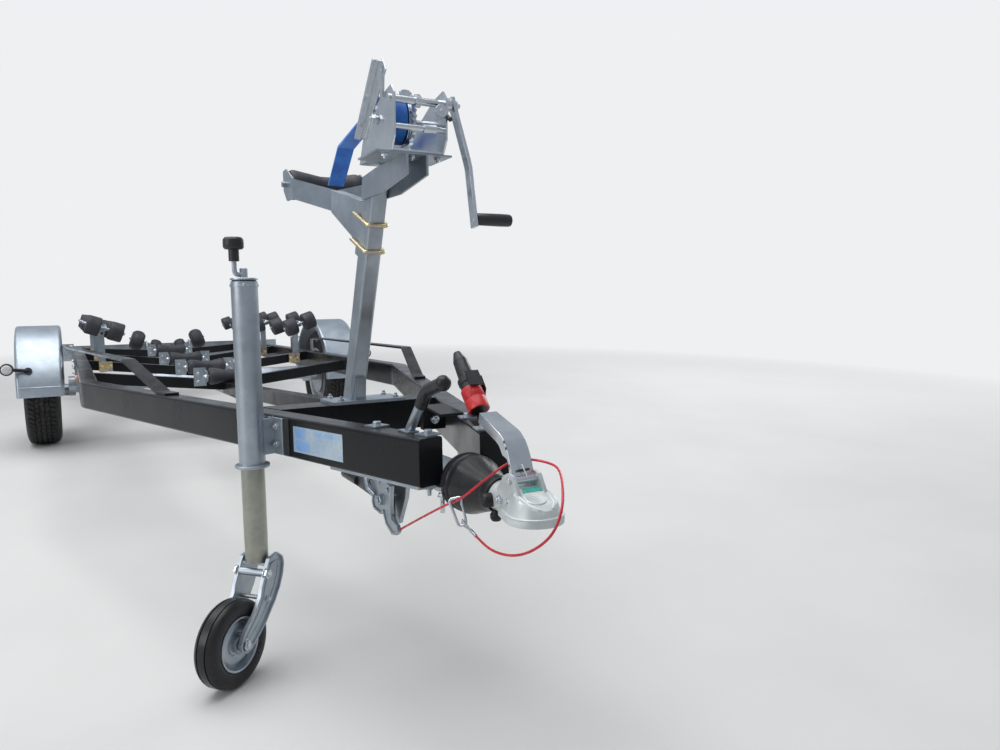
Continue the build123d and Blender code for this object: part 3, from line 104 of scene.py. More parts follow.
# ---------------- materials
class Look:
    """A material under construction: its node tree, its shader and short cuts to add nodes."""

    def __init__(self, name, roughness, metallic=0, **sockets):
        self.material = bpy.data.materials.new(name)
        self.material.use_nodes = True
        self.tree = self.material.node_tree
        self.shader = self.tree.nodes["Principled BSDF"]
        self.feed(self.shader, {"Roughness": roughness, "Metallic": metallic})
        self.feed(self.shader, {socket.replace("_", " "): value for socket, value in sockets.items()})
        self.coordinates = self.node("TexCoord").outputs["Object"]

    def feed(self, node, inputs):
        """Fills a node's inputs with numbers, colours or other nodes' outputs."""
        for socket, value in inputs.items():
            if isinstance(value, bpy.types.NodeSocket):
                self.tree.links.new(value, node.inputs[socket])
            else:
                node.inputs[socket].default_value = (*value, 1) if isinstance(value, tuple) else value
        return node

    def node(self, kind, inputs=None, **settings):
        made = self.tree.nodes.new("ShaderNode" + kind)
        for name, value in settings.items():
            setattr(made, name, value)
        return self.feed(made, inputs or {})

    def noise(self, scale, detail=3):
        return self.node("TexNoise", {"Scale": scale, "Detail": detail, "Vector": self.coordinates}).outputs["Fac"]

    def cells(self, scale, output="Color"):
        return self.node("TexVoronoi", {"Scale": scale, "Vector": self.coordinates}).outputs[output]

    def ramp(self, factor, *stops):
        """Colours along a factor: stops are (place, colour) pairs."""
        made = self.node("ValToRGB", {"Fac": factor})
        elements = made.color_ramp.elements
        while len(elements) < len(stops):
            elements.new(0.5)
        for element, (place, color) in zip(elements, stops):
            element.position = place
            element.color = (*color, 1)
        return made.outputs["Color"]

    def cloud(self, scale, detail, dark, light):
        """Two colours that a noise spreads over the surface."""
        return self.ramp(self.noise(scale, detail), (0.3, dark), (0.7, light))

    def span(self, factor, low, high, start=0.3, end=0.7):
        """A factor's middle part spread between two values."""
        inputs = {"Value": factor, "From Min": start, "From Max": end, "To Min": low, "To Max": high}
        return self.node("MapRange", inputs).outputs["Result"]

    def mix(self, factor, first, second, blend="MIX"):
        inputs = {0: factor, 6: first, 7: second}
        return self.node("Mix", inputs, data_type="RGBA", blend_type=blend).outputs[2]

    def times(self, first, second):
        return self.node("Math", {0: first, 1: second}, operation="MULTIPLY").outputs["Value"]

    def upward(self):
        """How far a surface faces up, from 0 to 1."""
        normal = self.node("NewGeometry").outputs["Normal"]
        return self.span(self.node("SeparateXYZ", {"Vector": normal}).outputs["Z"], 0, 1, 0.35, 0.95)

    def dress(self, color, rough, height, distance, strength):
        """Gives the shader its colour, roughness and bump.

        rough is a noise's (scale, detail) and the two values that it spreads between.
        height is an output, or a noise's (scale, detail).
        """
        scale, detail, low, high = rough
        roughness = self.span(self.noise(scale, detail), low, high)
        height = self.noise(*height) if isinstance(height, tuple) else height
        bump = self.node("Bump", {"Strength": strength, "Distance": distance, "Height": height})
        self.feed(self.shader, {"Base Color": color, "Roughness": roughness, "Normal": bump.outputs["Normal"]})
        return self


def powder_coat():
    """Gloss black coat with a fine orange peel and dust where it lies flat."""
    look = Look("black_coat", 0.2, Specular_IOR_Level=0.14, Coat_Weight=0.03, Coat_Roughness=0.08)
    base = look.ramp(look.noise(3), (0.3, (0.009, 0.0095, 0.011)), (0.75, (0.016, 0.017, 0.019)))
    dust = look.times(look.upward(), look.span(look.noise(22, 6), 0, 0.16))
    return look.dress(look.mix(dust, base, (0.17, 0.165, 0.155)), (9, 5, 0.14, 0.3), (420, 1), 0.0006, 0.25)


def galvanised(name, dark, light, low=0.3, high=0.52, spangle=55, metallic=0.9):
    """Zinc dipped steel: spangle cells, cloudy tone and a slightly wavy skin."""
    look = Look(name, 0.4, metallic)
    grey = look.ramp(look.cells(spangle), (0.1, (0.8, 0.81, 0.83)), (0.9, (1, 1, 1)))
    color = look.mix(0.55, look.cloud(7, 4, dark, light), grey, "MULTIPLY")
    return look.dress(color, (16, 5, low, high), (60, 3), 0.0008, 0.3)


def zinc_plate():
    """Bright zinc plate with a cloudy haze."""
    look = Look("zinc_plate", 0.24, 0.95)
    color = look.cloud(12, 4, (0.5, 0.535, 0.575), (0.66, 0.69, 0.72))
    return look.dress(color, (16, 3, 0.15, 0.28), (120, 2), 0.0001, 0.1)


def yellow_zinc():
    """Passivated zinc that turns from gold to pink and green."""
    look = Look("yellow_zinc", 0.28, 0.95)
    gold, pale, pink, green = (0.62, 0.46, 0.2), (0.72, 0.62, 0.34), (0.66, 0.5, 0.42), (0.55, 0.6, 0.38)
    color = look.ramp(look.noise(38, 3), (0.25, gold), (0.45, pale), (0.6, pink), (0.75, green))
    return look.dress(color, (50, 4, 0.2, 0.42), (140, 2), 0.0004, 0.2)


def wheel_paint():
    """Silver paint with brake dust."""
    look = Look("wheel_paint", 0.35, 0.6, Coat_Weight=0.3, Coat_Roughness=0.15)
    base = look.cloud(5, 3, (0.5, 0.52, 0.54), (0.62, 0.64, 0.66))
    color = look.mix(look.span(look.noise(26, 6), 0, 0.35, 0.5, 0.8), base, (0.3, 0.27, 0.23))
    return look.dress(color, (40, 4, 0.28, 0.5), (300, 1), 0.0004, 0.2)


def rubber(name, dark, light, low, high, dusty=0.25):
    """Moulded rubber with a fine grain and dust settled on it."""
    look = Look(name, 0.5, Specular_IOR_Level=0.3)
    base = look.cloud(14, 4, dark, light)
    patches = look.span(look.noise(34, 7), 0, dusty, 0.42, 0.75)
    cover = look.times(patches, look.span(look.upward(), 0.45, 1, 0, 1))
    return look.dress(look.mix(cover, base, (0.16, 0.145, 0.12)), (24, 4, low, high), (260, 2), 0.0008, 0.3)


def cast_metal():
    """Zinc plated casting: sandy grain, bright high spots, darker pores."""
    look = Look("cast_metal", 0.48, 0.5)
    tone = look.ramp(look.noise(20, 5), (0.3, (0.5, 0.545, 0.55)), (0.68, (0.68, 0.715, 0.71)))
    pores = look.ramp(look.noise(520, 2), (0.28, (0.78, 0.79, 0.8)), (0.42, (1, 1, 1)))
    return look.dress(look.mix(0.6, tone, pores, "MULTIPLY"), (60, 5, 0.42, 0.6), (620, 3), 0.0005, 0.3)


def plastic(name, dark, light, low=0.32, high=0.48, grain=500):
    look = Look(name, 0.4)
    return look.dress(look.cloud(18, 3, dark, light), (45, 4, low, high), (grain, 1), 0.0005, 0.25)


def webbing(name, dark, light):
    """Woven polyester: a fine twill across the strap and a soft sheen."""
    look = Look(name, 0.62, Sheen_Weight=0.3, Sheen_Roughness=0.4)
    inputs = {"Scale": 210, "Distortion": 1.2, "Vector": look.coordinates}
    weave = look.node("TexWave", inputs, wave_type="BANDS", bands_direction="DIAGONAL").outputs["Fac"]
    threads = look.ramp(weave, (0.1, (0.62, 0.62, 0.66)), (0.7, (1, 1, 1)))
    color = look.mix(0.9, look.cloud(30, 4, dark, light), threads, "MULTIPLY")
    return look.dress(color, (80, 3, 0.52, 0.74), weave, 0.0006, 0.5)


def lens(name, dark, light):
    """Moulded lamp lens with prisms behind a gloss face."""
    look = Look(name, 0.12, Coat_Weight=0.6, Coat_Roughness=0.04)
    grid = look.cells(260, "Distance")
    return look.dress(look.ramp(grid, (0.1, dark), (0.7, light)), (25, 3, 0.08, 0.2), grid, 0.0006, 0.4)


def sheet_label(name, base, patch, edge):
    """Blank film plate in a cloudy tone, no words."""
    look = Look(name, 0.3, Coat_Weight=0.4, Coat_Roughness=0.1)
    color = look.ramp(look.noise(9, 2), (0.35, base), (0.5, patch), (0.66, edge))
    return look.dress(color, (70, 3, 0.22, 0.36), (200, 3), 0.0002, 0.15)


looks = {
    "black_steel": powder_coat(),
    "galvanised": galvanised("galvanised_steel", (0.33, 0.375, 0.42), (0.47, 0.515, 0.555)),
    "zinc_bright": zinc_plate(),
    "yellow_zinc": yellow_zinc(),
    "silver_steel": wheel_paint(),
    "guard_metal": galvanised("guard_sheet", (0.34, 0.39, 0.44), (0.45, 0.5, 0.55), 0.34, 0.48, 30, 0.8),
    "road_tyre": rubber("road_rubber", (0.013, 0.013, 0.014), (0.025, 0.025, 0.026), 0.55, 0.8),
    "roller_rubber": rubber("roller_rubber", (0.024, 0.026, 0.034), (0.045, 0.047, 0.058), 0.42, 0.62),
    "soft_rubber": rubber("soft_rubber", (0.011, 0.011, 0.012), (0.019, 0.019, 0.021), 0.22, 0.42, 0.08),
    "cast_white": cast_metal(),
    "black_plastic": plastic("black_plastic", (0.012, 0.012, 0.013), (0.024, 0.024, 0.026)),
    "blue_webbing": webbing("blue_webbing", (0.02, 0.13, 0.56), (0.05, 0.28, 0.86)),
    "red_lens": lens("red_lens", (0.35, 0.008, 0.008), (0.62, 0.03, 0.02)),
    "amber_lens": lens("amber_lens", (0.6, 0.13, 0.015), (0.85, 0.26, 0.05)),
    "clear_lens": lens("clear_lens", (0.34, 0.36, 0.37), (0.52, 0.54, 0.55)),
    "red_cable": plastic("red_sleeve", (0.42, 0.008, 0.018), (0.6, 0.02, 0.035), 0.2, 0.34, 900),
    "red_plastic": plastic("red_plastic", (0.5, 0.012, 0.014), (0.66, 0.03, 0.03), 0.3, 0.45),
    "blank_plate": sheet_label("blank_plate", (0.2, 0.33, 0.48), (0.3, 0.42, 0.54), (0.4, 0.5, 0.58)),
    "film_field": sheet_label("film_field", (0.1, 0.26, 0.6), (0.2, 0.38, 0.68), (0.34, 0.48, 0.66)),
    "bare_plate": sheet_label("bare_plate", (0.62, 0.62, 0.58), (0.68, 0.68, 0.64), (0.72, 0.72, 0.69)),
    "clip_white": plastic("clip_white", (0.62, 0.63, 0.62), (0.76, 0.77, 0.76)),
    "teal_film": sheet_label("teal_film", (0.03, 0.3, 0.26), (0.05, 0.42, 0.36), (0.1, 0.5, 0.44)),
    "oiled_zinc": galvanised("oiled_zinc", (0.27, 0.275, 0.235), (0.4, 0.405, 0.35), 0.3, 0.46, 90),
}

slots = {part["node"]: part["material_slot"] for part in frame["record"]["subparts"]}
for name, node in frame["nodes"].items():
    node.data.materials.clear()
    node.data.materials.append(looks["oiled_zinc" if name == "jockey_inner_tube" else slots[name]].material)


# ---------------- mesh tools
HEX = 6
# Share of a bolt's size: radius of its washer
WASHER_SHARE = 1.9 / 1.7
# No bar runs this way, so the rings along it don't turn over
SKEW = (0.31, 0.17, 0.93)


def millimetres(rows):
    """Rows in metres, from rows in millimetres."""
    return [tuple(value / 1000 for value in row) for row in rows]


def turns(count):
    """Angles of equal steps round a circle."""
    return [2 * pi * step / count for step in range(count)]


def rectangle(left, right, low, high):
    """Corners of a rectangle, from its edges."""
    return [(left, low), (right, low), (right, high), (left, high)]


def frame_at(place, along, roll=(0, 0, 1)):
    """Matrix at a place whose Z points along a direction."""
    z = Vector(along).normalized()
    x = Vector(roll).cross(z)
    if x.length < 0.01:
        x = Vector((1, 0, 0)).cross(z)
    x.normalize()
    return axes(place, x, z.cross(x), z)


def axes(place, x, y, z):
    """Matrix with its three axes given."""
    matrix = Matrix((Vector(x), Vector(y), Vector(z))).transposed().to_4x4()
    matrix.translation = Vector(place)
    return matrix


def side_frame(y, out):
    """Frame on an upright plane along the trailer: its X and Y are x and z, its Z points outward."""
    return axes((0, y, 0), (1, 0, 0), (0, 0, 1), (0, out, 0))


def facing(matrix, direction):
    """A direction given in a frame."""
    return matrix.to_3x3() @ Vector(direction)


def skin(mesh, rings, closed=False):
    """Adds faces between rings of corners, one ring to the next; a ring may be a single point."""
    for low, high in zip(rings, rings[1:] + (rings[:1] if closed else [])):
        count = max(len(low), len(high))
        for step in range(count):
            after = (step + 1) % count
            corners = [low[step % len(low)], low[after % len(low)], high[after % len(high)], high[step % len(high)]]
            corners = [v for index, v in enumerate(corners) if v not in corners[:index]]
            if len(corners) > 2:
                mesh.faces.new(corners)


def solid(mesh, rings):
    """Adds a body between rings of corners, with a face over each end."""
    skin(mesh, rings)
    mesh.faces.new(rings[0][::-1])
    mesh.faces.new(rings[-1])


def lathe(mesh, profile, matrix, segments=24):
    """Adds a turned body: profile is (radius, height) points from one end to the other."""
    skin(mesh, [[mesh.verts.new(matrix @ Vector((radius * cos(angle), radius * sin(angle), height)))
                 for angle in turns(segments if radius > 0 else 1)] for radius, height in profile])


def turned(mesh, rows, matrix, segments=24):
    """Adds a turned body from rows in millimetres."""
    lathe(mesh, millimetres(rows), matrix, segments)


def rod(mesh, radius, low, high, matrix, segments=24):
    """Adds a round rod between two heights, in millimetres."""
    turned(mesh, [(0, low), (radius, low), (radius, high), (0, high)], matrix, segments)


def prism(mesh, outline, low, high, matrix):
    """Adds a plate: an outline of (x, y) points between two heights."""
    rings = [[mesh.verts.new(matrix @ Vector((x, y, z))) for x, y in outline] for z in (low, high)]
    mesh.faces.new(rings[0][::-1])
    mesh.faces.new(rings[1])
    skin(mesh, rings)


def box(mesh, place, size, matrix=Matrix()):
    """Adds a box round a place."""
    x, y, z = (value / 2 for value in size)
    prism(mesh, rectangle(-x, x, -y, y), -z, z, matrix @ Matrix.Translation(Vector(place)))


def inset(outline, width):
    """Outline drawn in by a width, corner by corner."""
    area = sum(x0 * y1 - x1 * y0 for (x0, y0), (x1, y1) in zip(outline, outline[1:] + outline[:1]))
    hand = 1 if area > 0 else -1
    drawn = []
    for index, corner in enumerate(outline):
        here = Vector(corner)
        back = (here - Vector(outline[index - 1])).normalized()
        ahead = (Vector(outline[(index + 1) % len(outline)]) - here).normalized()
        across = (Vector((-back.y, back.x)) + Vector((-ahead.y, ahead.x))).normalized() * hand
        share = max(0.5, across.dot(Vector((-back.y, back.x)) * hand))
        drawn.append(tuple(here + across * width / share))
    return drawn


def band(mesh, outline, width, low, high, matrix):
    """Adds a raised edge that follows an outline."""
    inner = inset(outline, width)
    skin(mesh, [[mesh.verts.new(matrix @ Vector((x, y, height))) for x, y in points]
                for points, height in ((outline, low), (outline, high), (inner, high), (inner, low))], closed=True)


def direction_at(points, index):
    """Direction of a route at one of its points."""
    return (points[min(index + 1, len(points) - 1)] - points[max(index - 1, 0)]).normalized()


def wire(mesh, points, radius, segments=8):
    """Adds a round bar along points."""
    places = [Vector(point) for point in points]
    rings = []
    for index, place in enumerate(places):
        matrix = frame_at(place, direction_at(places, index), SKEW)
        rings.append([mesh.verts.new(matrix @ Vector((radius * cos(angle), radius * sin(angle), 0)))
                      for angle in turns(segments)])
    solid(mesh, rings)


def rounded_route(points, radius, steps=8):
    """Points along a route with its corners rounded."""
    route = [Vector(points[0])]
    for before, corner, after in zip(points, points[1:], points[2:]):
        before, corner, after = Vector(before), Vector(corner), Vector(after)
        first = corner + (before - corner).normalized() * radius
        last = corner + (after - corner).normalized() * radius
        for step in range(steps + 1):
            share = step / steps
            route.append(first * (1 - share) ** 2 + corner * 2 * share * (1 - share) + last * share ** 2)
    route.append(Vector(points[-1]))
    return route


def piece(name, mesh, look, body="root", bevel=0, smooth=35, replaces=None):
    """Makes an object of a mesh in the level frame, with its material, riding on a body.

    Its slot is the one that its look is named after.
    """
    bmesh.ops.recalc_face_normals(mesh, faces=mesh.faces)
    data = bpy.data.meshes.new(name)
    mesh.to_mesh(data)
    mesh.free()
    data.transform(PARKED)
    data.polygons.foreach_set("use_smooth", [True] * len(data.polygons))
    data.set_sharp_from_angle(angle=radians(smooth))
    data.materials.append(looks[look].material)
    made = add_object(name, data)
    if bevel:
        edges = made.modifiers.new("edges", "BEVEL")
        edges.width = bevel
        edges.segments = 2
        edges.limit_method = "ANGLE"
    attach(made, body)
    if replaces:
        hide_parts(replaces)


def add_bolt(mesh, place, along, size, tail=0):
    """Adds a hexagon head on a washer; with a tail, a nut with the thread's end standing out."""
    matrix = frame_at(place, along)
    wash = size * 0.16
    height = size * 0.65
    top = wash + height
    edge = size * WASHER_SHARE
    lathe(mesh, [(0, 0), (edge, 0), (edge, wash), (0, wash)], matrix, 20)
    lathe(mesh, [(0, wash), (size * 0.98, wash), (size * 0.98, wash + height * 0.82), (size * 0.84, top), (0, top)],
          matrix, HEX)
    if tail:
        lathe(mesh, [(0, top), (size * 0.5, top), (size * 0.5, top + tail * 0.85), (size * 0.4, top + tail),
                     (0, top + tail)], matrix, 12)


def bolts(name, look, rows, body="root"):
    """One piece of many fastenings: rows are (place, direction, size, tail)."""
    mesh = bmesh.new()
    for row in rows:
        add_bolt(mesh, *row)
    piece(name, mesh, look, body, 0.0003)


def both(rows):
    """Rows of (place, direction, size, tail) on one side, and the same on the other side."""
    return rows + [((x, -y, z), (dx, -dy, dz), size, tail) for (x, y, z), (dx, dy, dz), size, tail in rows]


# ---------------- camera
def aim_camera():
    yaw, down, roll = CAMERA_YAW, CAMERA_DOWN, CAMERA_ROLL
    forward = Vector((-cos(yaw) * cos(down), sin(yaw) * cos(down), -sin(down)))
    level_right = Vector((sin(yaw), cos(yaw), 0))
    level_up = level_right.cross(forward)
    right = level_right * cos(roll) + level_up * sin(roll)
    up = level_up * cos(roll) - level_right * sin(roll)
    data = bpy.data.cameras.new("camera")
    data.sensor_width = CAMERA_SENSOR
    data.lens = CAMERA_LENS
    camera = add_object("camera", data)
    camera.matrix_world = PARKED @ axes(CAMERA_PLACE, right, up, -forward)
    bpy.context.scene.camera = camera


aim_camera()

# ---------------- breakaway cable
CABLE_RADIUS = 0.00225
CABLE_ROUTE = millimetres([
    (-138, -82, -214), (70, -82, -117), (133, -79, -94), (180, -60, -56), (206, -35, -27), (206, -5, -16),
    (211, 24, -17), (237, 41, -20), (277, 36, -20), (322, 14, -24), (364, -12, -36), (391, -32, -58),
    (393, -48, -90), (368, -58, -117), (331, -65, -139), (292, -71, -151), (236, -67, -160), (191, -62, -160),
    (164, -61, -154),
])


def cable():
    curve = bpy.data.curves.new("cable_line", "CURVE")
    curve.dimensions = "3D"
    curve.resolution_u = 12
    curve.bevel_depth = CABLE_RADIUS
    curve.bevel_resolution = 4
    curve.use_fill_caps = True
    spline = curve.splines.new("NURBS")
    spline.points.add(len(CABLE_ROUTE) - 1)
    for point, place in zip(spline.points, CABLE_ROUTE):
        point.co = (*(PARKED @ Vector(place)), 1)
    spline.order_u = 3
    spline.use_endpoint_u = True
    curve.materials.append(looks["red_cable"].material)
    made = add_object("cable", curve)
    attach(made, "root")
    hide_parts("breakaway_cable")


cable()

# ---------------- road tyres
TREAD_DEPTH = 0.0065
TREAD_HALF = 0.06
TREAD_PITCHES = 64
TREAD_COLUMNS = 64
COLUMN_WIDTH = 0.0019
STEPS_A_PITCH = 8
# Columns: distance from the tread's middle, half width of the groove that runs round the tyre
GROOVES = [(-0.034, 0.0035), (-0.012, 0.003), (0.012, 0.003), (0.034, 0.0035)]
GROOVE_WANDER = 0.0016
# Outer edges of the middle and inner ribs
RIB_EDGES = (0.0105, 0.033)
# Rows for the middle, inner and outer ribs: lean of the cuts, their width and share of the depth
RIBS = [(0, 0.1, 0.5), (4.5, 0.16, 0.75), (-3, 0.22, 0.85)]
# Columns: distance from the wheel's middle plane, radius
SIDEWALL = millimetres([
    (64, 166), (66.5, 171.5), (67.2, 178), (67.5, 183), (70, 190), (76, 202), (80, 214), (81.5, 226), (81.8, 237),
    (81, 248), (81.5, 250), (79.8, 256), (77.5, 264), (74, 272), (70, 278.5), (65, 283.5),
])


def tread_radius(across, turn):
    """Radius of the tread at a place across it and a turn round the wheel, from 0 to 1."""
    crown = TYRE_RADIUS - 0.0005 - 0.0045 * (across / TREAD_HALF) ** 4
    wander = GROOVE_WANDER * sin(2 * pi * turn * TREAD_PITCHES / 2)
    if any(abs(across - middle - wander) < half for middle, half in GROOVES):
        return crown - TREAD_DEPTH
    rib = sum(abs(across) >= edge for edge in RIB_EDGES)
    lean, width, share = RIBS[rib]
    phase = (turn * TREAD_PITCHES + lean * across * 6 + 0.35 * rib) % 1
    return crown - (TREAD_DEPTH * share if phase < width else 0)


def road_tyre(hand, side):
    mesh = bmesh.new()
    steps = TREAD_PITCHES * STEPS_A_PITCH
    # Rows: distance from the wheel's middle plane, radius or None on the tread
    section = SIDEWALL + [(TREAD_HALF - COLUMN_WIDTH * step, None) for step in range(TREAD_COLUMNS)]
    section += [(-distance, radius) for distance, radius in reversed(SIDEWALL)]
    rings = []
    for distance, radius in section:
        ring = []
        for step, angle in enumerate(turns(steps)):
            reach = radius or tread_radius(distance, step / steps)
            ring.append(mesh.verts.new((reach * cos(angle), reach * sin(angle), distance)))
        rings.append(ring)
    skin(mesh, rings, closed=True)
    bmesh.ops.transform(mesh, matrix=frame_at((HUB.x, side * HUB.y, HUB.z), (0, 1, 0)), verts=mesh.verts)
    piece("road_tyre_" + hand, mesh, "road_tyre", "wheel_" + hand, smooth=32, replaces="tyre_" + hand)


for side, hand in ((-1, "right"), (1, "left")):
    road_tyre(hand, side)

# ---------------- fastenings
# Columns: x, y of the bolts through the right rail; the left rail has the same
RAIL_BOLTS = [(-0.03, -0.062), (-0.19, -0.108)]
WASHER_HALF = 0.019
WASHER_THICK = 0.004
POST_PLATE_BOLTS = [(-0.68, -0.058), (-0.604, -0.052), (-0.68, 0.096), (-0.604, 0.102)]


def rail_fastenings():
    """Bolts through the rails that hold the overrun housing, on square washers."""
    mesh = bmesh.new()
    corners = rectangle(-WASHER_HALF, WASHER_HALF, -WASHER_HALF, WASHER_HALF)
    for x, y in RAIL_BOLTS:
        for side in (-1, 1):
            place = Vector((x, -side * y, 0))
            prism(mesh, corners, 0, WASHER_THICK, frame_at(place, UP, (1, -side * V_SLOPE, 0)))
            add_bolt(mesh, place + Vector((0, 0, WASHER_THICK)), UP, 0.0095)
            add_bolt(mesh, place + Vector((0, 0, -RAIL_HEIGHT - 0.008)), DOWN, 0.0085, 0.012)
    piece("rail_fastenings", mesh, "galvanised", bevel=0.0004)


rail_fastenings()
bolts("post_plate_bolts", "galvanised", [((x, y, 0.008), UP, 0.008, 0.006) for x, y in POST_PLATE_BOLTS])

# Long passivated bolt that hangs under the right rail's front end, with its nut
hanging = bmesh.new()
wire(hanging, [(0.004, -0.05, -0.1), (0.004, -0.05, -0.15)], 0.005)
add_bolt(hanging, (0.004, -0.05, -0.118), UP, 0.009)
box(hanging, (0.002, -0.05, -0.099), (0.042, 0.024, 0.007))
piece("hanging_bolt", hanging, "zinc_bright", bevel=0.0004)

# Stepped black bracket between the rails, over the overrun housing
nose_bracket = bmesh.new()
STEPS = millimetres([(-150, -8), (-132, -8), (-128, 40), (-46, 30), (-46, 36), (-134, 46), (-150, 6)])
prism(nose_bracket, STEPS, -0.026, 0.026, side_frame(0, 1))
piece("nose_bracket", nose_bracket, "black_steel", bevel=0.0012)
bolts("nose_bracket_bolt", "zinc_bright", [((-0.131, 0, 0.014), (1, 0, 0.1), 0.009, 0.003)])

# ---------------- film plate on the right rail
PLATE_X = -0.335
PLATE_Z = -0.0475
FILM_THICK = 0.001
rail_normal = Vector((V_SLOPE, -1, 0)).normalized()
plate_place = Vector((PLATE_X, PLATE_X * V_SLOPE - NOSE_Y, PLATE_Z)) + rail_normal * (RAIL_WIDTH / 2)
plate_frame = axes(plate_place, Vector((1, V_SLOPE, 0)).normalized(), UP, rail_normal)
plate = bmesh.new()
prism(plate, rectangle(-0.098, 0.098, -0.03, 0.03), 0, FILM_THICK, plate_frame)
piece("film_plate", plate, "blank_plate", bevel=0.0003)
fields = bmesh.new()
for edges in ((-0.09, -0.046, 0.004, 0.024), (-0.012, 0.088, 0.016, 0.024), (-0.09, -0.03, -0.024, -0.002)):
    prism(fields, rectangle(*edges), FILM_THICK, 0.0013, plate_frame)
piece("film_fields", fields, "film_field")

# ---------------- jockey wheel
JOCKEY_BACK = 0.545
JOCKEY_OUT = 0.084
JOCKEY_TOP = 0.32
JOCKEY_HUB = (0.1, -0.506)
V_TURN = radians(16.5)
CASTER_TURN = radians(-50.4)
CRANK_OFFSET = -0.022
FORK_HALF = 0.038
FORK_OUTLINE = millimetres([
    (-25, -328), (8, -334), (16, -347), (28, -369), (40, -394), (45, -413), (67, -443), (92, -464), (109, -482),
    (119, -500), (116, -514), (100, -525), (83, -521), (54, -500), (28, -479), (12, -461), (-8, -440), (-28, -412),
    (-41, -384), (-46, -359), (-42, -342),
])
# Columns: x, z, radius in millimetres, size of the nuts
FORK_PINS = [(0.018, -0.367, 9, 0.0125), (0.019, -0.427, 5, 0.0075), (*JOCKEY_HUB, 8, 0.0125)]
JOCKEY_HALF_TYRE = [
    (62.5, 23), (66, 25.5), (72, 27), (80, 27), (86, 26.6), (91, 25), (95, 22), (98, 18), (99.6, 13.4), (99.8, 12.8),
    (97.4, 12.2), (97.4, 9.8), (99.9, 9.2), (100, 5), (100, 0),
]
# Columns: outline of a ring on the rim's face, steps round it
RIM_RINGS = [
    ([(62, 22.5), (62, 25.5), (60, 26.5), (57.5, 25), (56.5, 21.5)], 60),
    ([(52, 10.5), (47, 15), (38, 18.5), (30, 18), (25, 14.2)], 60),
    ([(19, 14), (19, 27.4), (14, 28.6), (9, 28.6)], 36),
]
KNOB = [
    (0, 42.4), (11.6, 42.4), (11.6, 69), (19.6, 69.6), (22.6, 73.6), (22.9, 82), (22.6, 91.4), (18.4, 96.6), (0, 97),
]
rail_frame = axes((0, -NOSE_Y, 0), (cos(V_TURN), sin(V_TURN), 0), (-sin(V_TURN), cos(V_TURN), 0), UP)
jockey_axis = rail_frame @ Vector((-JOCKEY_BACK, -JOCKEY_OUT, 0))
fork_frame = axes(jockey_axis, (cos(CASTER_TURN), sin(CASTER_TURN), 0), (-sin(CASTER_TURN), cos(CASTER_TURN), 0), UP)
fork_sides = [fork_frame @ side_frame(side * FORK_HALF, side) for side in (-1, 1)]
jockey_top = Matrix.Translation(jockey_axis + Vector((0, 0, JOCKEY_TOP)))


def pin_frame(x, z):
    """Frame on a pin across the fork."""
    return fork_frame @ axes((x, 0, z), FORWARD, DOWN, LEFT)


# Fork: head with its kingpin, two curved plates and the pins between them
fork = bmesh.new()
box(fork, (-0.011, 0, -0.348), (0.05, 0.076, 0.006), fork_frame)
rod(fork, 15, -352, -341, fork_frame, 32)
for plane in fork_sides:
    prism(fork, FORK_OUTLINE, -0.005, 0, plane)
for x, z, radius, size in FORK_PINS:
    rod(fork, radius, -46, 46, pin_frame(x, z))
piece("fork", fork, "galvanised", "jockey_caster", 0.0006, replaces="jockey_fork")
sleeve = bmesh.new()
turned(sleeve, [(0, -345), (26, -345), (26.5, -343), (26.5, -288), (25, -287), (0, -287)],
       Matrix.Translation(jockey_axis), 48)
piece("jockey_tube_end", sleeve, "oiled_zinc", "jockey_leg")

edges = bmesh.new()
for plane in fork_sides:
    band(edges, FORK_OUTLINE, 0.0035, -0.001, 0.005, plane)
    band(edges, inset(FORK_OUTLINE, 0.016), 0.004, -0.001, 0.0016, plane)
piece("fork_edges", edges, "galvanised", "jockey_caster", 0.0008)
fork_bolts = bmesh.new()
for x, z, radius, size in FORK_PINS:
    for side in (-1, 1):
        place = fork_frame @ Vector((x, side * FORK_HALF, z))
        add_bolt(fork_bolts, place, facing(fork_frame, (0, side, 0)), size, 0.004)
piece("fork_bolts", fork_bolts, "zinc_bright", "jockey_caster", 0.0004)

wheel_frame = pin_frame(*JOCKEY_HUB)
jockey_tyre = bmesh.new()
other_half = [(radius, -height) for radius, height in reversed(JOCKEY_HALF_TYRE[:-1])]
turned(jockey_tyre, JOCKEY_HALF_TYRE + other_half + JOCKEY_HALF_TYRE[:1], wheel_frame, 72)
piece("jockey_solid_tyre", jockey_tyre, "soft_rubber", "jockey_wheel", replaces="jockey_tyre")
jockey_rings = bmesh.new()
for side in (-1, 1):
    for rows, segments in RIM_RINGS:
        turned(jockey_rings, [(radius, side * height) for radius, height in rows], wheel_frame, segments)
piece("jockey_rim_rings", jockey_rings, "galvanised", "jockey_wheel")

crank = bmesh.new()
turned(crank, [(0, 0), (9, 0), (9, 26), (8, 27), (0, 27)], jockey_top, 28)
crank_frame = rail_frame @ Matrix.Translation((-JOCKEY_BACK, -JOCKEY_OUT, JOCKEY_TOP))
crank_route = rounded_route([(0, 0, 0.013), (0, CRANK_OFFSET, 0.012), (0, CRANK_OFFSET, 0.046)], 0.01)
wire(crank, [crank_frame @ point for point in crank_route], 0.0055, 16)
piece("crank", crank, "galvanised", bevel=0.0005, replaces="jockey_crank")
knob = bmesh.new()
turned(knob, KNOB, Matrix.Translation(jockey_axis + facing(rail_frame, (0, CRANK_OFFSET, JOCKEY_TOP))), 32)
piece("jockey_knob", knob, "black_plastic", bevel=0.001)

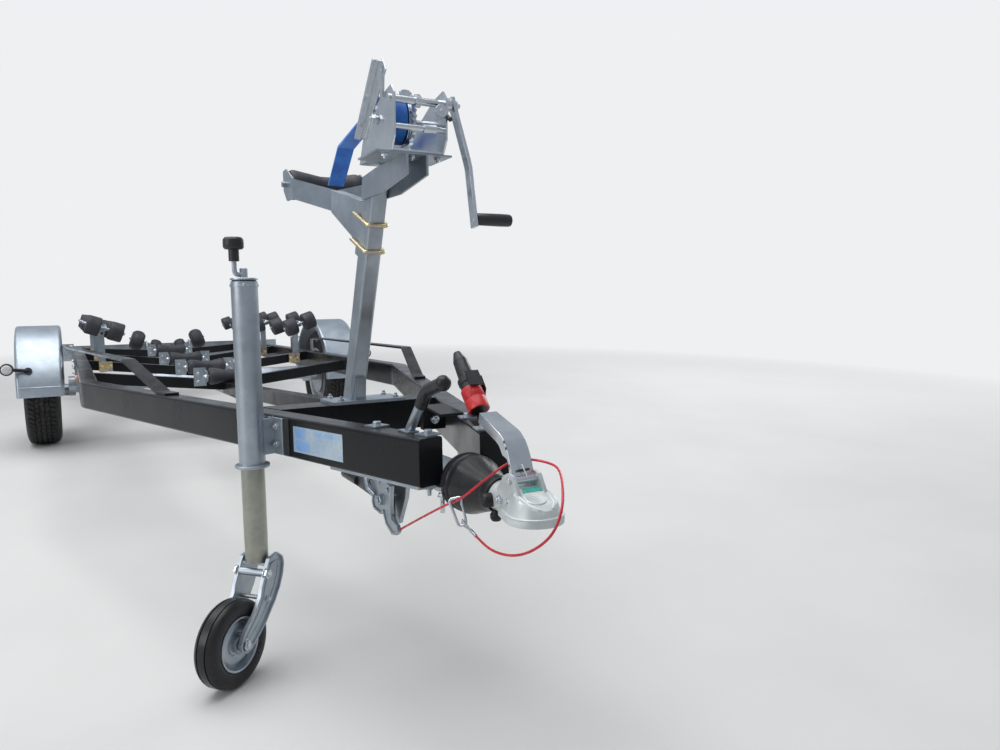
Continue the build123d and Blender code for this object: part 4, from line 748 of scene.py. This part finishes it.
# Rivets and rings on the tube, and what holds it to the rail
jockey_small = bmesh.new()
for turn in (-100, -12, 80, 168):
    out = Vector((cos(radians(turn)), sin(radians(turn)), 0))
    place = jockey_axis + out * 0.0295 + Vector((0, 0, JOCKEY_TOP - 0.012))
    turned(jockey_small, [(0, 0), (4, 0), (4, 1.2), (2.4, 2.4), (0, 2.8)], frame_at(place, out), 16)
turned(jockey_small, [(30, -12), (31.2, -12), (31.2, -16), (30, -16)], jockey_top, 48)
turned(jockey_small, [(38, 0.5), (39.2, 0.5), (40, 2.5), (40, 5.5), (39.2, 7.5), (38, 7.5)],
       Matrix.Translation(jockey_axis + Vector((0, 0, -0.118))), 48)
turned(jockey_small, [(26.8, 0), (30.6, 0), (30.6, 3), (29.5, 4.4), (0, 4.4)], jockey_top, 48)
for z in (-0.024, -0.066):
    add_bolt(jockey_small, rail_frame @ Vector((-0.508, -0.037, z)), facing(rail_frame, RIGHT), 0.0085, 0.004)
    rod(jockey_small, 4, 0, 1, rail_frame @ frame_at((-0.528, -0.0365, z + 0.02), RIGHT), 16)
mount = bmesh.new()
box(mount, (-0.52, -0.0335, -0.047), (0.066, 0.006, 0.086), rail_frame)
for x in (-0.565, -0.525):
    box(mount, (x, -0.05, -0.047), (0.005, 0.034, 0.086), rail_frame)
piece("jockey_mount", mount, "galvanised", bevel=0.0008, replaces="jockey_clamp")
piece("jockey_fastenings", jockey_small, "galvanised", bevel=0.0004)
backing = bmesh.new()
box(backing, (-0.476, -0.0315, -0.047), (0.022, 0.003, 0.088), rail_frame)
piece("clamp_backing", backing, "black_plastic", bevel=0.0006)

# ---------------- manoeuvring handle
MANOEUVRE_Y = -0.077
MANOEUVRE_BEND = (0.002, MANOEUVRE_Y, 0.092)
GRIP_END = (0.076, MANOEUVRE_Y, 0.112)
BALL_RADIUS = 0.0152
BALL_STEPS = 16
tube = bmesh.new()
tube_route = rounded_route([(-0.088, MANOEUVRE_Y, 0.002), MANOEUVRE_BEND, (0.074, MANOEUVRE_Y, 0.1115)], 0.016)
wire(tube, tube_route, 0.01, 24)
box(tube, (-0.088, -0.079, 0.002), (0.044, 0.028, 0.004))
piece("manoeuvre_tube", tube, "galvanised", bevel=0.0005, replaces="manoeuvre_handle")
grip = bmesh.new()
wire(grip, rounded_route([(-0.0265, MANOEUVRE_Y, 0.06), MANOEUVRE_BEND, GRIP_END], 0.016), 0.013, 28)
ball = [(BALL_RADIUS * sin(pi * step / BALL_STEPS), -BALL_RADIUS * cos(pi * step / BALL_STEPS))
        for step in range(1, BALL_STEPS)]
lathe(grip, [(0, -BALL_RADIUS), *ball, (0, BALL_RADIUS)], Matrix.Translation(Vector(GRIP_END)), 28)
piece("manoeuvre_grip", grip, "soft_rubber")

# ---------------- coupling
COUPLING_Z = -0.092
HEAD_REAR_X = 0.192
HEAD_REAR_HALF = 0.033
HEAD_MIDDLE = 0.24
HEAD_RADIUS = 0.05
NOSE_RIM = 0.0485
HEAD_BOLT_Y = 0.029
HEAD_STEPS = 96
BALL_X = 0.262
# Columns: x and z along the top of the head
HEAD_CREST = millimetres([(192, -64), (206, -56), (232, -58), (258, -68), (290, -78), (314, -92)])
# Columns: distance drawn in from the rim, z
HEAD_RINGS = millimetres([
    (0, -112), (0, -100.5), (1, -98.6), (3, -98), (5, -98), (6.4, -94), (9, -85), (11.5, -75), (14, -66), (16, -60),
    (18, -56), (20, -54), (23, -52), (26, -50), (30, -50),
])
BALL_CUP = millimetres([(25.5, -112), (25.5, -104), (23, -93), (18, -86), (9, -80)])
LUG = millimetres([(184, -68), (208, -40), (222, -34), (238, -37), (258, -66), (258, -80), (192, -92)])
LUG_Y = 0.023
HANDLE_PIN_X = 0.23
HANDLE_PIN_Z = -0.046
coupling_axis = frame_at((0, 0, COUPLING_Z), FORWARD)
handle_pin = frame_at((HANDLE_PIN_X, 0, HANDLE_PIN_Z), LEFT)


def head_reach(drawn, angle):
    """Distance from the head's middle to its outline, drawn in, in one direction."""
    middle = Vector((HEAD_MIDDLE, 0))
    corners = [Vector((HEAD_REAR_X + drawn * 0.4, side * (HEAD_REAR_HALF - drawn))) for side in (-1, 1)]
    radius = HEAD_RADIUS - drawn
    corners += [Vector((BALL_X + radius * cos(turn), radius * sin(turn))) for turn in turns(HEAD_STEPS)]
    hull = [corners[index] for index in geometry.convex_hull_2d(corners)]
    ray = Vector((cos(angle), sin(angle)))
    reach = 1
    for start, end in zip(hull, hull[1:] + hull[:1]):
        normal = Vector(((end - start).y, -(end - start).x))
        if (start - middle).dot(normal) < 0:
            normal.negate()
        if normal.dot(ray) > 1e-9:
            reach = min(reach, (start - middle).dot(normal) / normal.dot(ray))
    return reach


def crest_height(x):
    """Height of the head's top at a place along it."""
    for (x0, z0), (x1, z1) in zip(HEAD_CREST, HEAD_CREST[1:]):
        if x <= x1:
            return z0 + (z1 - z0) * min(1, max(0, (x - x0) / (x1 - x0)))
    return HEAD_CREST[-1][1]


shell = bmesh.new()
rings = []
for drawn, z in HEAD_RINGS:
    ring = []
    for angle in turns(HEAD_STEPS):
        reach = head_reach(drawn, angle)
        x = HEAD_MIDDLE + reach * cos(angle)
        ring.append(shell.verts.new((x, reach * sin(angle), min(z, crest_height(x)))))
    rings.append(ring)
# Ball cup, open below
for radius, z in BALL_CUP:
    rings.insert(0, [shell.verts.new((BALL_X + radius * cos(angle), radius * sin(angle), z))
                     for angle in turns(HEAD_STEPS)])
skin(shell, rings)
shell.faces.new(rings[0])
shell.faces.new(rings[-1])
turned(shell, [(0, 1), (25, 1), (25, 150), (29, 150), (29, 206), (0, 206)], coupling_axis, 48)
for side in (-1, 1):
    prism(shell, LUG, 0, 0.006, side_frame(side * LUG_Y, side))
rod(shell, 6, -31, 31, handle_pin)
piece("head_casting", shell, "cast_white", smooth=42, replaces="coupling_head")

# Rubber bellows: two folds behind a cone
BELLOWS = [
    (37.4, 1), (44, 1), (52, 4.5), (57, 10), (58, 14), (57.5, 18), (53.5, 20.5), (51, 23), (53.5, 25.5), (57.5, 28),
    (58, 31), (57.5, 34), (53.5, 36.5), (51, 39), (53.5, 41.5), (57, 45), (57.6, 50), (56, 56), (49, 77), (42, 98),
    (35.5, 122), (32.4, 132), (33.6, 134), (33.6, 146), (32.6, 149.4), (29.2, 149.4),
]
boot = bmesh.new()
turned(boot, BELLOWS, coupling_axis, 72)
piece("bellows_folds", boot, "soft_rubber", smooth=50, replaces="bellows")

# Locking handle: a bent channel, its flanges turned to the rear above the pin
HANDLE_ROUTE = [(0.232, 0, -0.052), (0.213, 0, -0.002), (0.192, 0, 0.026), (0.104, 0, 0.056)]
HANDLE_HALF = 0.022
HANDLE_SHEET = 0.0022
lever = bmesh.new()
points = rounded_route(HANDLE_ROUTE, 0.016)
rings = []
for index, point in enumerate(points):
    along = direction_at(points, index)
    rear = Vector((-along.z, 0, along.x)) * (-1 if along.z < 0 else 1)
    share = min(1, max(0, (point.z + 0.01) / 0.012))
    flange = HANDLE_SHEET + 0.006 + 0.012 * share
    half = HANDLE_HALF - 0.004 * (index == len(points) - 1)
    inside = half - HANDLE_SHEET
    section = [(-half, 0), (half, 0), (half, flange), (inside, flange), (inside, HANDLE_SHEET),
               (-inside, HANDLE_SHEET), (-inside, flange), (-half, flange)]
    rings.append([lever.verts.new(point + Vector((0, across, 0)) + rear * depth) for across, depth in section])
solid(lever, rings)
rod(lever, 7, -22, 22, handle_pin, 28)
piece("locking_handle", lever, "zinc_bright", "coupling_lever", 0.0009, replaces="coupling_handle")

# Boss on the head's nose, its rim and the ridges along its top
crest_normal = Vector((0.298, 0, 0.954)).normalized()
boss = bmesh.new()
boss_frame = axes((0.27, -0.004, -0.0712), (crest_normal.z, 0, -crest_normal.x), LEFT, crest_normal)
turned(boss, [(0, 0.9), (14.5, 0.9), (16.5, 1.6), (18.5, 1.4), (20, 0), (20, -2)], boss_frame, 40)
NOSE_TURNS = [radians(turn) for turn in range(-100, 101, 8)]
wire(boss, [(BALL_X + NOSE_RIM * cos(turn), NOSE_RIM * sin(turn), -0.0985) for turn in NOSE_TURNS], 0.0022)
for side in (-1, 1):
    wire(boss, [(0.206, side * 0.025, -0.0575), (0.232, side * 0.0262, -0.06), (0.262, side * 0.0275, -0.07),
                (0.286, side * 0.023, -0.078), (0.3, side * 0.012, -0.0835)], 0.0024)
piece("head_relief", boss, "cast_white", bevel=0.0004)

teal = bmesh.new()
teal_normal = Vector((0.359, 0, 0.933)).normalized()
teal_frame = axes((0.244, 0.005, -0.0622), LEFT, (-teal_normal.z, 0, teal_normal.x), teal_normal)
prism(teal, [(-0.021, -0.007), (0.02, -0.007), (0.025, 0.006), (-0.016, 0.006)], 0, 0.0008, teal_frame)
piece("head_film", teal, "teal_film")

# Columns: x, z, size, tail
HEAD_BOLTS = [(0.196, -0.085, 0.0075, 0.004), (0.226, -0.083, 0.0065, 0.004), (HANDLE_PIN_X, HANDLE_PIN_Z, 0.0065, 0)]
bolts("head_bolts", "zinc_bright", [((x, side * HEAD_BOLT_Y, z), (0, side, 0), size, tail)
                                    for x, z, size, tail in HEAD_BOLTS for side in (-1, 1)])

caps = bmesh.new()
turned(caps, [(0, 0), (13, 0), (13, 16), (11, 20), (8, 22), (0, 22)], frame_at((0.158, -0.024, -0.094), RIGHT), 28)
turned(caps, [(0, 0), (7, 0), (8, 4), (11, 8), (11, 15), (8, 20), (0, 21)], frame_at((0.16, -0.018, -0.113), DOWN), 28)
piece("coupling_caps", caps, "soft_rubber", bevel=0.0005)

# Slot, clip and holes of the locking handle: the slot and the holes are dark marks, painted shade where the openings
# are
handle_hole_shade = bmesh.new()
box(handle_hole_shade, (0.2285, 0, -0.03), (0.0024, 0.022, 0.0035))
for x, z in ((0.206, 0.006), (0.2, 0.016)):
    rod(handle_hole_shade, 2.6, 0, 0.5, frame_at((x, -0.022, z), RIGHT), 14)
piece("handle_opening_shade", handle_hole_shade, "black_plastic", "coupling_lever")
clip = bmesh.new()
wire(clip, millimetres([(227, -3, -20), (231, -2, -27), (234, 1, -36), (234, 4, -46)]), 0.0012)
piece("handle_clip", clip, "clip_white", "coupling_lever")

# ---------------- parking brake
BRAKE_FACE = -0.088
EAR_FACE = -0.058
EAR = millimetres([
    (-262, -92), (-258, -168), (-248, -226), (-233, -231), (-207, -222), (-166, -157), (-155, -120), (-173, -92),
])
EYE = millimetres([
    (-315, -142), (-285, -126), (-240, -120), (-167, -127), (-173, -170), (-169, -198), (-139, -206), (-133, -218),
    (-147, -228), (-169, -232), (-203, -218), (-219, -195), (-233, -203), (-277, -199), (-287, -184), (-279, -164),
])
brake_small = bmesh.new()
add_bolt(brake_small, (-0.225, BRAKE_FACE, -0.168), RIGHT, 0.012, 0.004)
add_bolt(brake_small, (-0.188, BRAKE_FACE, -0.14), RIGHT, 0.006)
wire(brake_small, millimetres([(-318, -94, -130), (-300, -98, -140), (-288, -97, -156), (-262, -93, -166)]), 0.0045)
prism(brake_small, EYE, -0.006, 0.0004, side_frame(BRAKE_FACE, -1))
band(brake_small, EYE, 0.005, -0.001, 0.003, side_frame(BRAKE_FACE, -1))
prism(brake_small, EAR, -0.009, 0.0004, side_frame(EAR_FACE, -1))
piece("brake_relief", brake_small, "galvanised", bevel=0.0006)

# ---------------- winch
DECK_BOTTOM = 0.574
CHEEK_FRAME = side_frame(-0.061, -1)
STRIP_FACE = -0.065
STRIP = millimetres([(-357, 634), (-326, 628), (-194, 742), (-206, 766), (-230, 772)])
STRIP_LIP = millimetres([(-357, 634), (-352, 630), (-226, 768), (-230, 772)])
winch_small = bmesh.new()
prism(winch_small, STRIP, 0, 0.004, CHEEK_FRAME)
prism(winch_small, STRIP_LIP, 0.004, 0.018, CHEEK_FRAME)
add_bolt(winch_small, (-0.262, STRIP_FACE, 0.656), RIGHT, 0.01, 0.004)
for x, z in ((-0.322, 0.642), (-0.216, 0.744)):
    rod(winch_small, 4, 0, 1.6, frame_at((x, STRIP_FACE, z), RIGHT), 16)
turned(winch_small, [(0, 0), (15, 0), (15, 3), (12, 4), (5, 4), (5, 7), (0, 7)],
       frame_at((-0.16, 0.046, 0.661), FORWARD), 32)
rod(winch_small, 9, 0, 30, frame_at((-0.176, 0.01, 0.626), LEFT))
for y in (-0.066, -0.004, 0.056):
    add_bolt(winch_small, (-0.206, y, DECK_BOTTOM), DOWN, 0.008, 0.004)
add_bolt(winch_small, (-0.262, 0.066, 0.656), LEFT, 0.011, 0.004)
pawl = bmesh.new()
wire(pawl, [(-0.177, 0.056, 0.668), (-0.164, 0.059, 0.655), (-0.146, 0.06, 0.643)], 0.005, 12)
piece("winch_pawl_knob", pawl, "black_plastic", bevel=0.0006)
piece("winch_fittings", winch_small, "zinc_bright", bevel=0.0004)

# Crank with its shaft and pinion: the photo shows its arm bent outward halfway down
CRANK_X = -0.184
CRANK_Z = 0.683
PINION_RADIUS = 0.011
PINION_TEETH = 7
# Columns: share of a tooth's pitch, rise over the pinion's root
TOOTH = [(-0.3, 0), (-0.14, 0.003), (0.14, 0.003), (0.3, 0)]
# Columns: distance outward, distance up the arm
ARM = millimetres([
    (78, 16), (86, 16), (87, 8), (112, -116), (115, -136), (118, -264), (110, -264), (107, -137), (104, -118), (79, 6),
])
GRIP = [
    (6.2, 119), (11.6, 119), (13.2, 122), (13.6, 150), (13.9, 176), (13.6, 200), (12.4, 203.4), (10, 205), (0, 205),
]
winch_crank = bmesh.new()
crank_axis = frame_at((CRANK_X, 0, CRANK_Z), LEFT)
grip_axis = frame_at((-0.15, 0, 0.4395), LEFT)
rod(winch_crank, 8, -65, 80, crank_axis, 32)
turned(winch_crank, [(8, 62), (14, 62), (14, 78), (8, 78)], crank_axis, 32)
turned(winch_crank, [(8, 86), (12, 86), (12, 90), (0, 90)], crank_axis, 32)
pinion = []
for tooth in range(PINION_TEETH):
    for share, rise in TOOTH:
        turn = 2 * pi * (tooth + share) / PINION_TEETH
        pinion.append((PINION_RADIUS + rise) * Vector((cos(turn), sin(turn))))
prism(winch_crank, pinion, -0.005, 0.007, crank_axis)
slope = Vector((-0.034, 0, 0.252)).normalized()
prism(winch_crank, ARM, -0.011, 0.011, axes((CRANK_X, 0, CRANK_Z), LEFT, slope, Vector(LEFT).cross(slope)))
add_bolt(winch_crank, (CRANK_X, 0.088, CRANK_Z), LEFT, 0.01, 0.005)
add_bolt(winch_crank, (-0.15, 0.114, 0.437), RIGHT, 0.006)
rod(winch_crank, 6, 110, 204, grip_axis, 20)
piece("winch_crank_arm", winch_crank, "zinc_bright", "winch_handle", 0.0008, replaces="winch_crank")
winch_grip = bmesh.new()
turned(winch_grip, GRIP, grip_axis, 32)
piece("winch_grip", winch_grip, "black_plastic", "winch_handle", replaces="crank_grip")

# ---------------- plug
PLUG_MOUTH = Vector((-0.173, 0.13, 0.017))
PLUG_RINGS = [
    (19, 0.5), (20, -0.8), (24.8, -0.8), (25.2, 1), (25.2, 26), (24.4, 27.5), (24.4, 29), (25.4, 30.5), (25.4, 56),
    (24.6, 58), (23, 58),
]
plug_frame = frame_at(PLUG_MOUTH, (Vector((-0.281, 0.13, 0.142)) - PLUG_MOUTH).normalized(), LEFT)
rings = bmesh.new()
turned(rings, PLUG_RINGS, plug_frame, 40)
piece("plug_rings", rings, "red_plastic")
mouth = bmesh.new()
turned(mouth, [(0, -0.3), (19.2, -0.3), (19.2, 0.4)], plug_frame, 32)
box(mouth, (0.03, 0, 0.07), (0.004, 0.034, 0.04), plug_frame)
piece("plug_mouth", mouth, "black_plastic")

# ---------------- cradles and keel rollers
CRADLE_Y = 0.5
CRADLE_Z = 0.168
CRADLE_AHEAD = 0.035
CRADLE_TILT = radians(19)
CRADLE_REACH = 0.165
DRUM_OUT = 0.054
SHAFT_END = 0.0872
CROSSBEAM_X = (-3.25, -4.1, -4.9)
CROSSBEAM_TOP = -0.002
CROSSBEAM_DIP = 0.068
# Columns: x of a beam, height of the roller's pin on it
KEEL_PINS = [(-2.55, -0.06), (-3.25, -0.058), (-4.1, -0.056), (-4.9, -0.033)]
DRUM = [
    (9, -33.4), (30, -33.4), (41.6, -33.4), (46.5, -31), (48.5, -25.4), (48.7, -8), (48.4, 0), (48.7, 8), (48.5, 25.4),
    (46.5, 31), (41.6, 33.4), (30, 33.4), (9, 33.4),
]


def cradle_frame(x, side):
    """Frame at a cradle's pivot: X along the trailer, Z outward along the tilted pin."""
    out = Vector((0, side * cos(CRADLE_TILT), sin(CRADLE_TILT)))
    return axes((x + CRADLE_AHEAD, side * CRADLE_Y, CRADLE_Z), FORWARD, out.cross(Vector(FORWARD)), out)


def cradle(number, beam_x, side, hand):
    """The drums of one cradle, and the nuts on their shafts."""
    here = cradle_frame(beam_x, side)
    drums = bmesh.new()
    nuts = bmesh.new()
    for along in (-CRADLE_REACH, CRADLE_REACH):
        for outward in (-1, 1):
            turned(drums, DRUM, here @ Matrix.Translation((along, 0, outward * DRUM_OUT)), 40)
            add_bolt(nuts, here @ Vector((along, 0, outward * SHAFT_END)), facing(here, (0, 0, outward)), 0.009, 0.003)
    body = f"cradle_{hand}_{number}_body"
    piece(f"cradle_drums_{hand}_{number}", drums, "roller_rubber", body)
    piece(f"cradle_nuts_{hand}_{number}", nuts, "zinc_bright", body, 0.0003)


for number, beam_x in enumerate(CROSSBEAM_X, start=1):
    for side, hand in ((-1, "right"), (1, "left")):
        cradle(number, beam_x, side, hand)

pivot_rows = []
clamp_rows = []
clamp_z = CROSSBEAM_TOP - CROSSBEAM_DIP * (1 - CRADLE_Y / BED_Y) - 0.025
for beam_x in CROSSBEAM_X:
    for side in (-1, 1):
        here = cradle_frame(beam_x, side)
        for outward in (-1, 1):
            pivot_rows.append((here @ Vector((0, 0, outward * 0.0122)), facing(here, (0, 0, outward)), 0.01, 0.002))
    for across in (-0.022, 0.022):
        for side in (-1, 1):
            clamp_rows.append(((beam_x + 0.055, side * (CRADLE_Y + across), clamp_z), FORWARD, 0.008, 0.01))
bolts("cradle_pivot_nuts", "zinc_bright", pivot_rows)
bolts("clamp_bolts", "yellow_zinc", clamp_rows)

# Nuts of the keel rollers' pins, and bolts through the brackets' feet
keel_rows = []
for beam_x, pin_z in KEEL_PINS:
    keel_rows += both([
        ((beam_x + 0.07, 0.105, pin_z), LEFT, 0.01, 0.006),
        ((beam_x + 0.025, 0.136, pin_z + 0.012), FORWARD, 0.007, 0.004),
        ((beam_x + 0.025, 0.136, pin_z - 0.026), FORWARD, 0.007, 0.004),
    ])
bolts("keel_nuts", "zinc_bright", keel_rows)

# ---------------- mudguards, stays and lamps
GUARD_SKIN = 0.361
GUARD_BEAD = 0.336
GUARD_HALF = 0.106
GUARD_CREASE = radians(8)


def guard_point(radius, angle, across, side):
    """Place on a mudguard, round its wheel's hub."""
    return (HUB.x + radius * cos(angle), side * (HUB.y + across), HUB.z + radius * sin(angle))


guard_detail = bmesh.new()
for side in (-1, 1):
    for angle in (GUARD_CREASE, pi - GUARD_CREASE):
        wire(guard_detail, [guard_point(GUARD_SKIN, angle, across, side) for across in (-0.096, -0.05, 0, 0.05, 0.096)],
             0.0035)
    for across in (-GUARD_HALF + 0.0015, GUARD_HALF - 0.0015):
        wire(guard_detail, [guard_point(GUARD_BEAD, radians(a), across, side) for a in range(1, 180, 6)], 0.003)
piece("guard_beads", guard_detail, "guard_metal")

stay_rows = []
for x in (HUB.x + 0.24, HUB.x - 0.24):
    stay_rows += [((x, RAIL_FACE_Y + 0.006, z), LEFT, 0.008, 0.005) for z in (-0.07, -0.03)]
    stay_rows.append(((x, 0.672, 0.062), DOWN, 0.007, 0.005))
bolts("stay_bolts", "zinc_bright", both(stay_rows))

reflectors = bmesh.new()
for side in (-1, 1):
    for x in (-2.6, -4.55):
        turned(reflectors, [(0, 0), (20, 0), (20, 3), (18, 4.5), (0, 4.5)],
               frame_at((x, side * RAIL_FACE_Y, -0.048), (0, side, 0)), 36)
piece("side_reflectors", reflectors, "amber_lens")

# Marker lamps on their rubber arms: a clear lens in front, a red one behind
MARKER_X = -3.19
MARKER_Y = 0.943
MARKER_Z = -0.028
marker = bmesh.new()
marker_glass = bmesh.new()
marker_red = bmesh.new()
for side in (-1, 1):
    for glass, out in ((marker_glass, 1), (marker_red, -1)):
        lamp_frame = frame_at((MARKER_X + out * 0.0125, side * MARKER_Y, MARKER_Z), (out, 0, 0))
        turned(glass, [(0, 0), (24, 0), (24, 2), (21, 5), (12, 7), (0, 7.6)], lamp_frame, 32)
        turned(marker, [(29.2, -1), (30, 0), (30, 3), (27, 3.6), (24, 2.4)], lamp_frame, 32)
piece("marker_bezels", marker, "soft_rubber")
piece("marker_glass", marker_glass, "clear_lens")
piece("marker_glass_rear", marker_red, "red_lens")

# Rear lamps' lenses, the bare plate and reflectors on the board
BOARD_X = -5.145
LAMP_BACK = BOARD_X - 0.048
TRIANGLE = millimetres([(-70, -35), (70, -35), (0, 60)])
lamp_glass = {"red_lens": bmesh.new(), "amber_lens": bmesh.new(), "clear_lens": bmesh.new()}
for side in (-1, 1):
    for low, high, look in ((0.762, 0.838, "amber_lens"), (0.676, 0.758, "red_lens"), (0.604, 0.672, "clear_lens")):
        box(lamp_glass[look], (LAMP_BACK - 0.001, side * (low + high) / 2, -0.05), (0.006, high - low, 0.086))
    prism(lamp_glass["red_lens"], TRIANGLE, 0, 0.004, axes((BOARD_X, side * 0.48, -0.058), LEFT, UP, BACK))
for look, mesh in lamp_glass.items():
    piece("rear_" + look, mesh, look, bevel=0.0012)
bare = bmesh.new()
box(bare, (-5.1505, 0, -0.05), (0.002, 0.5, 0.098))
piece("bare_plate", bare, "bare_plate", bevel=0.0006)

# ---------------- floor and light
BACKDROP = (0.86, 0.87, 0.88)
FLOOR_HALF = 40
# Distances from the middle between which the floor fades into the backdrop
FLOOR_FADE = (3.3, 7)


def lay_floor():
    """Plain floor that fades into the backdrop with distance from the trailer."""
    mesh = bmesh.new()
    bmesh.ops.create_grid(mesh, x_segments=1, y_segments=1, size=FLOOR_HALF)
    data = bpy.data.meshes.new("floor")
    mesh.to_mesh(data)
    mesh.free()
    look = Look("floor", 0.75)
    look.feed(look.shader, {"Base Color": look.cloud(1.5, 4, (0.6, 0.6, 0.59), (0.64, 0.64, 0.63))})
    reach = look.node("VectorMath", {0: look.coordinates}, operation="LENGTH").outputs["Value"]
    camera_ray = look.node("LightPath").outputs["Is Camera Ray"]
    share = look.times(look.span(reach, 0, 1, *FLOOR_FADE), camera_ray)
    glow = look.node("Emission", {"Color": BACKDROP}).outputs["Emission"]
    fade = look.node("MixShader", {0: share, 1: look.shader.outputs["BSDF"], 2: glow})
    look.feed(look.tree.nodes["Material Output"], {"Surface": fade.outputs["Shader"]})
    data.materials.append(look.material)
    add_object("floor", data)


def soft_lamp(name, place, target, size, power):
    """Area lamp that shines from a place at a target."""
    data = bpy.data.lights.new(name, "AREA")
    data.shape = "RECTANGLE"
    data.size, data.size_y = size
    data.energy = power
    lamp = add_object(name, data)
    lamp.location = place
    lamp.rotation_euler = (Vector(target) - Vector(place)).to_track_quat("-Z", "Y").to_euler()


def background(node, color, strength):
    """Sets a background node and gives its output."""
    node.inputs["Color"].default_value = (*color, 1)
    node.inputs["Strength"].default_value = strength
    return node.outputs["Background"]


def light_world():
    """One sky for the light, one for mirror images and one that the camera sees."""
    world = bpy.data.worlds.new("world")
    bpy.context.scene.world = world
    world.use_nodes = True
    tree = world.node_tree
    mixed = background(tree.nodes["Background"], (0.72, 0.76, 0.82), 0.45)
    seen = background(tree.nodes.new("ShaderNodeBackground"), BACKDROP, 1)
    mirrored = background(tree.nodes.new("ShaderNodeBackground"), (0.66, 0.72, 0.8), 0.62)
    rays = tree.nodes.new("ShaderNodeLightPath")
    for ray, shown in (("Is Glossy Ray", mirrored), ("Is Camera Ray", seen)):
        choice = tree.nodes.new("ShaderNodeMixShader")
        tree.links.new(rays.outputs[ray], choice.inputs["Fac"])
        tree.links.new(mixed, choice.inputs[1])
        tree.links.new(shown, choice.inputs[2])
        mixed = choice.outputs["Shader"]
    tree.links.new(mixed, tree.nodes["World Output"].inputs["Surface"])


lay_floor()
soft_lamp("overhead", (0.5, -1, 5.5), (0.3, 0, 0.5), (7, 5), 330)
soft_lamp("front_left", (2.5, -6.5, 3), (1, 0, 0.6), (3.6, 3.6), 125)
soft_lamp("rear_right", (-1.5, 5.5, 3), (0.5, 0, 0.6), (4, 2.5), 120)
light_world()
bpy.context.scene.view_settings.view_transform = "Standard"
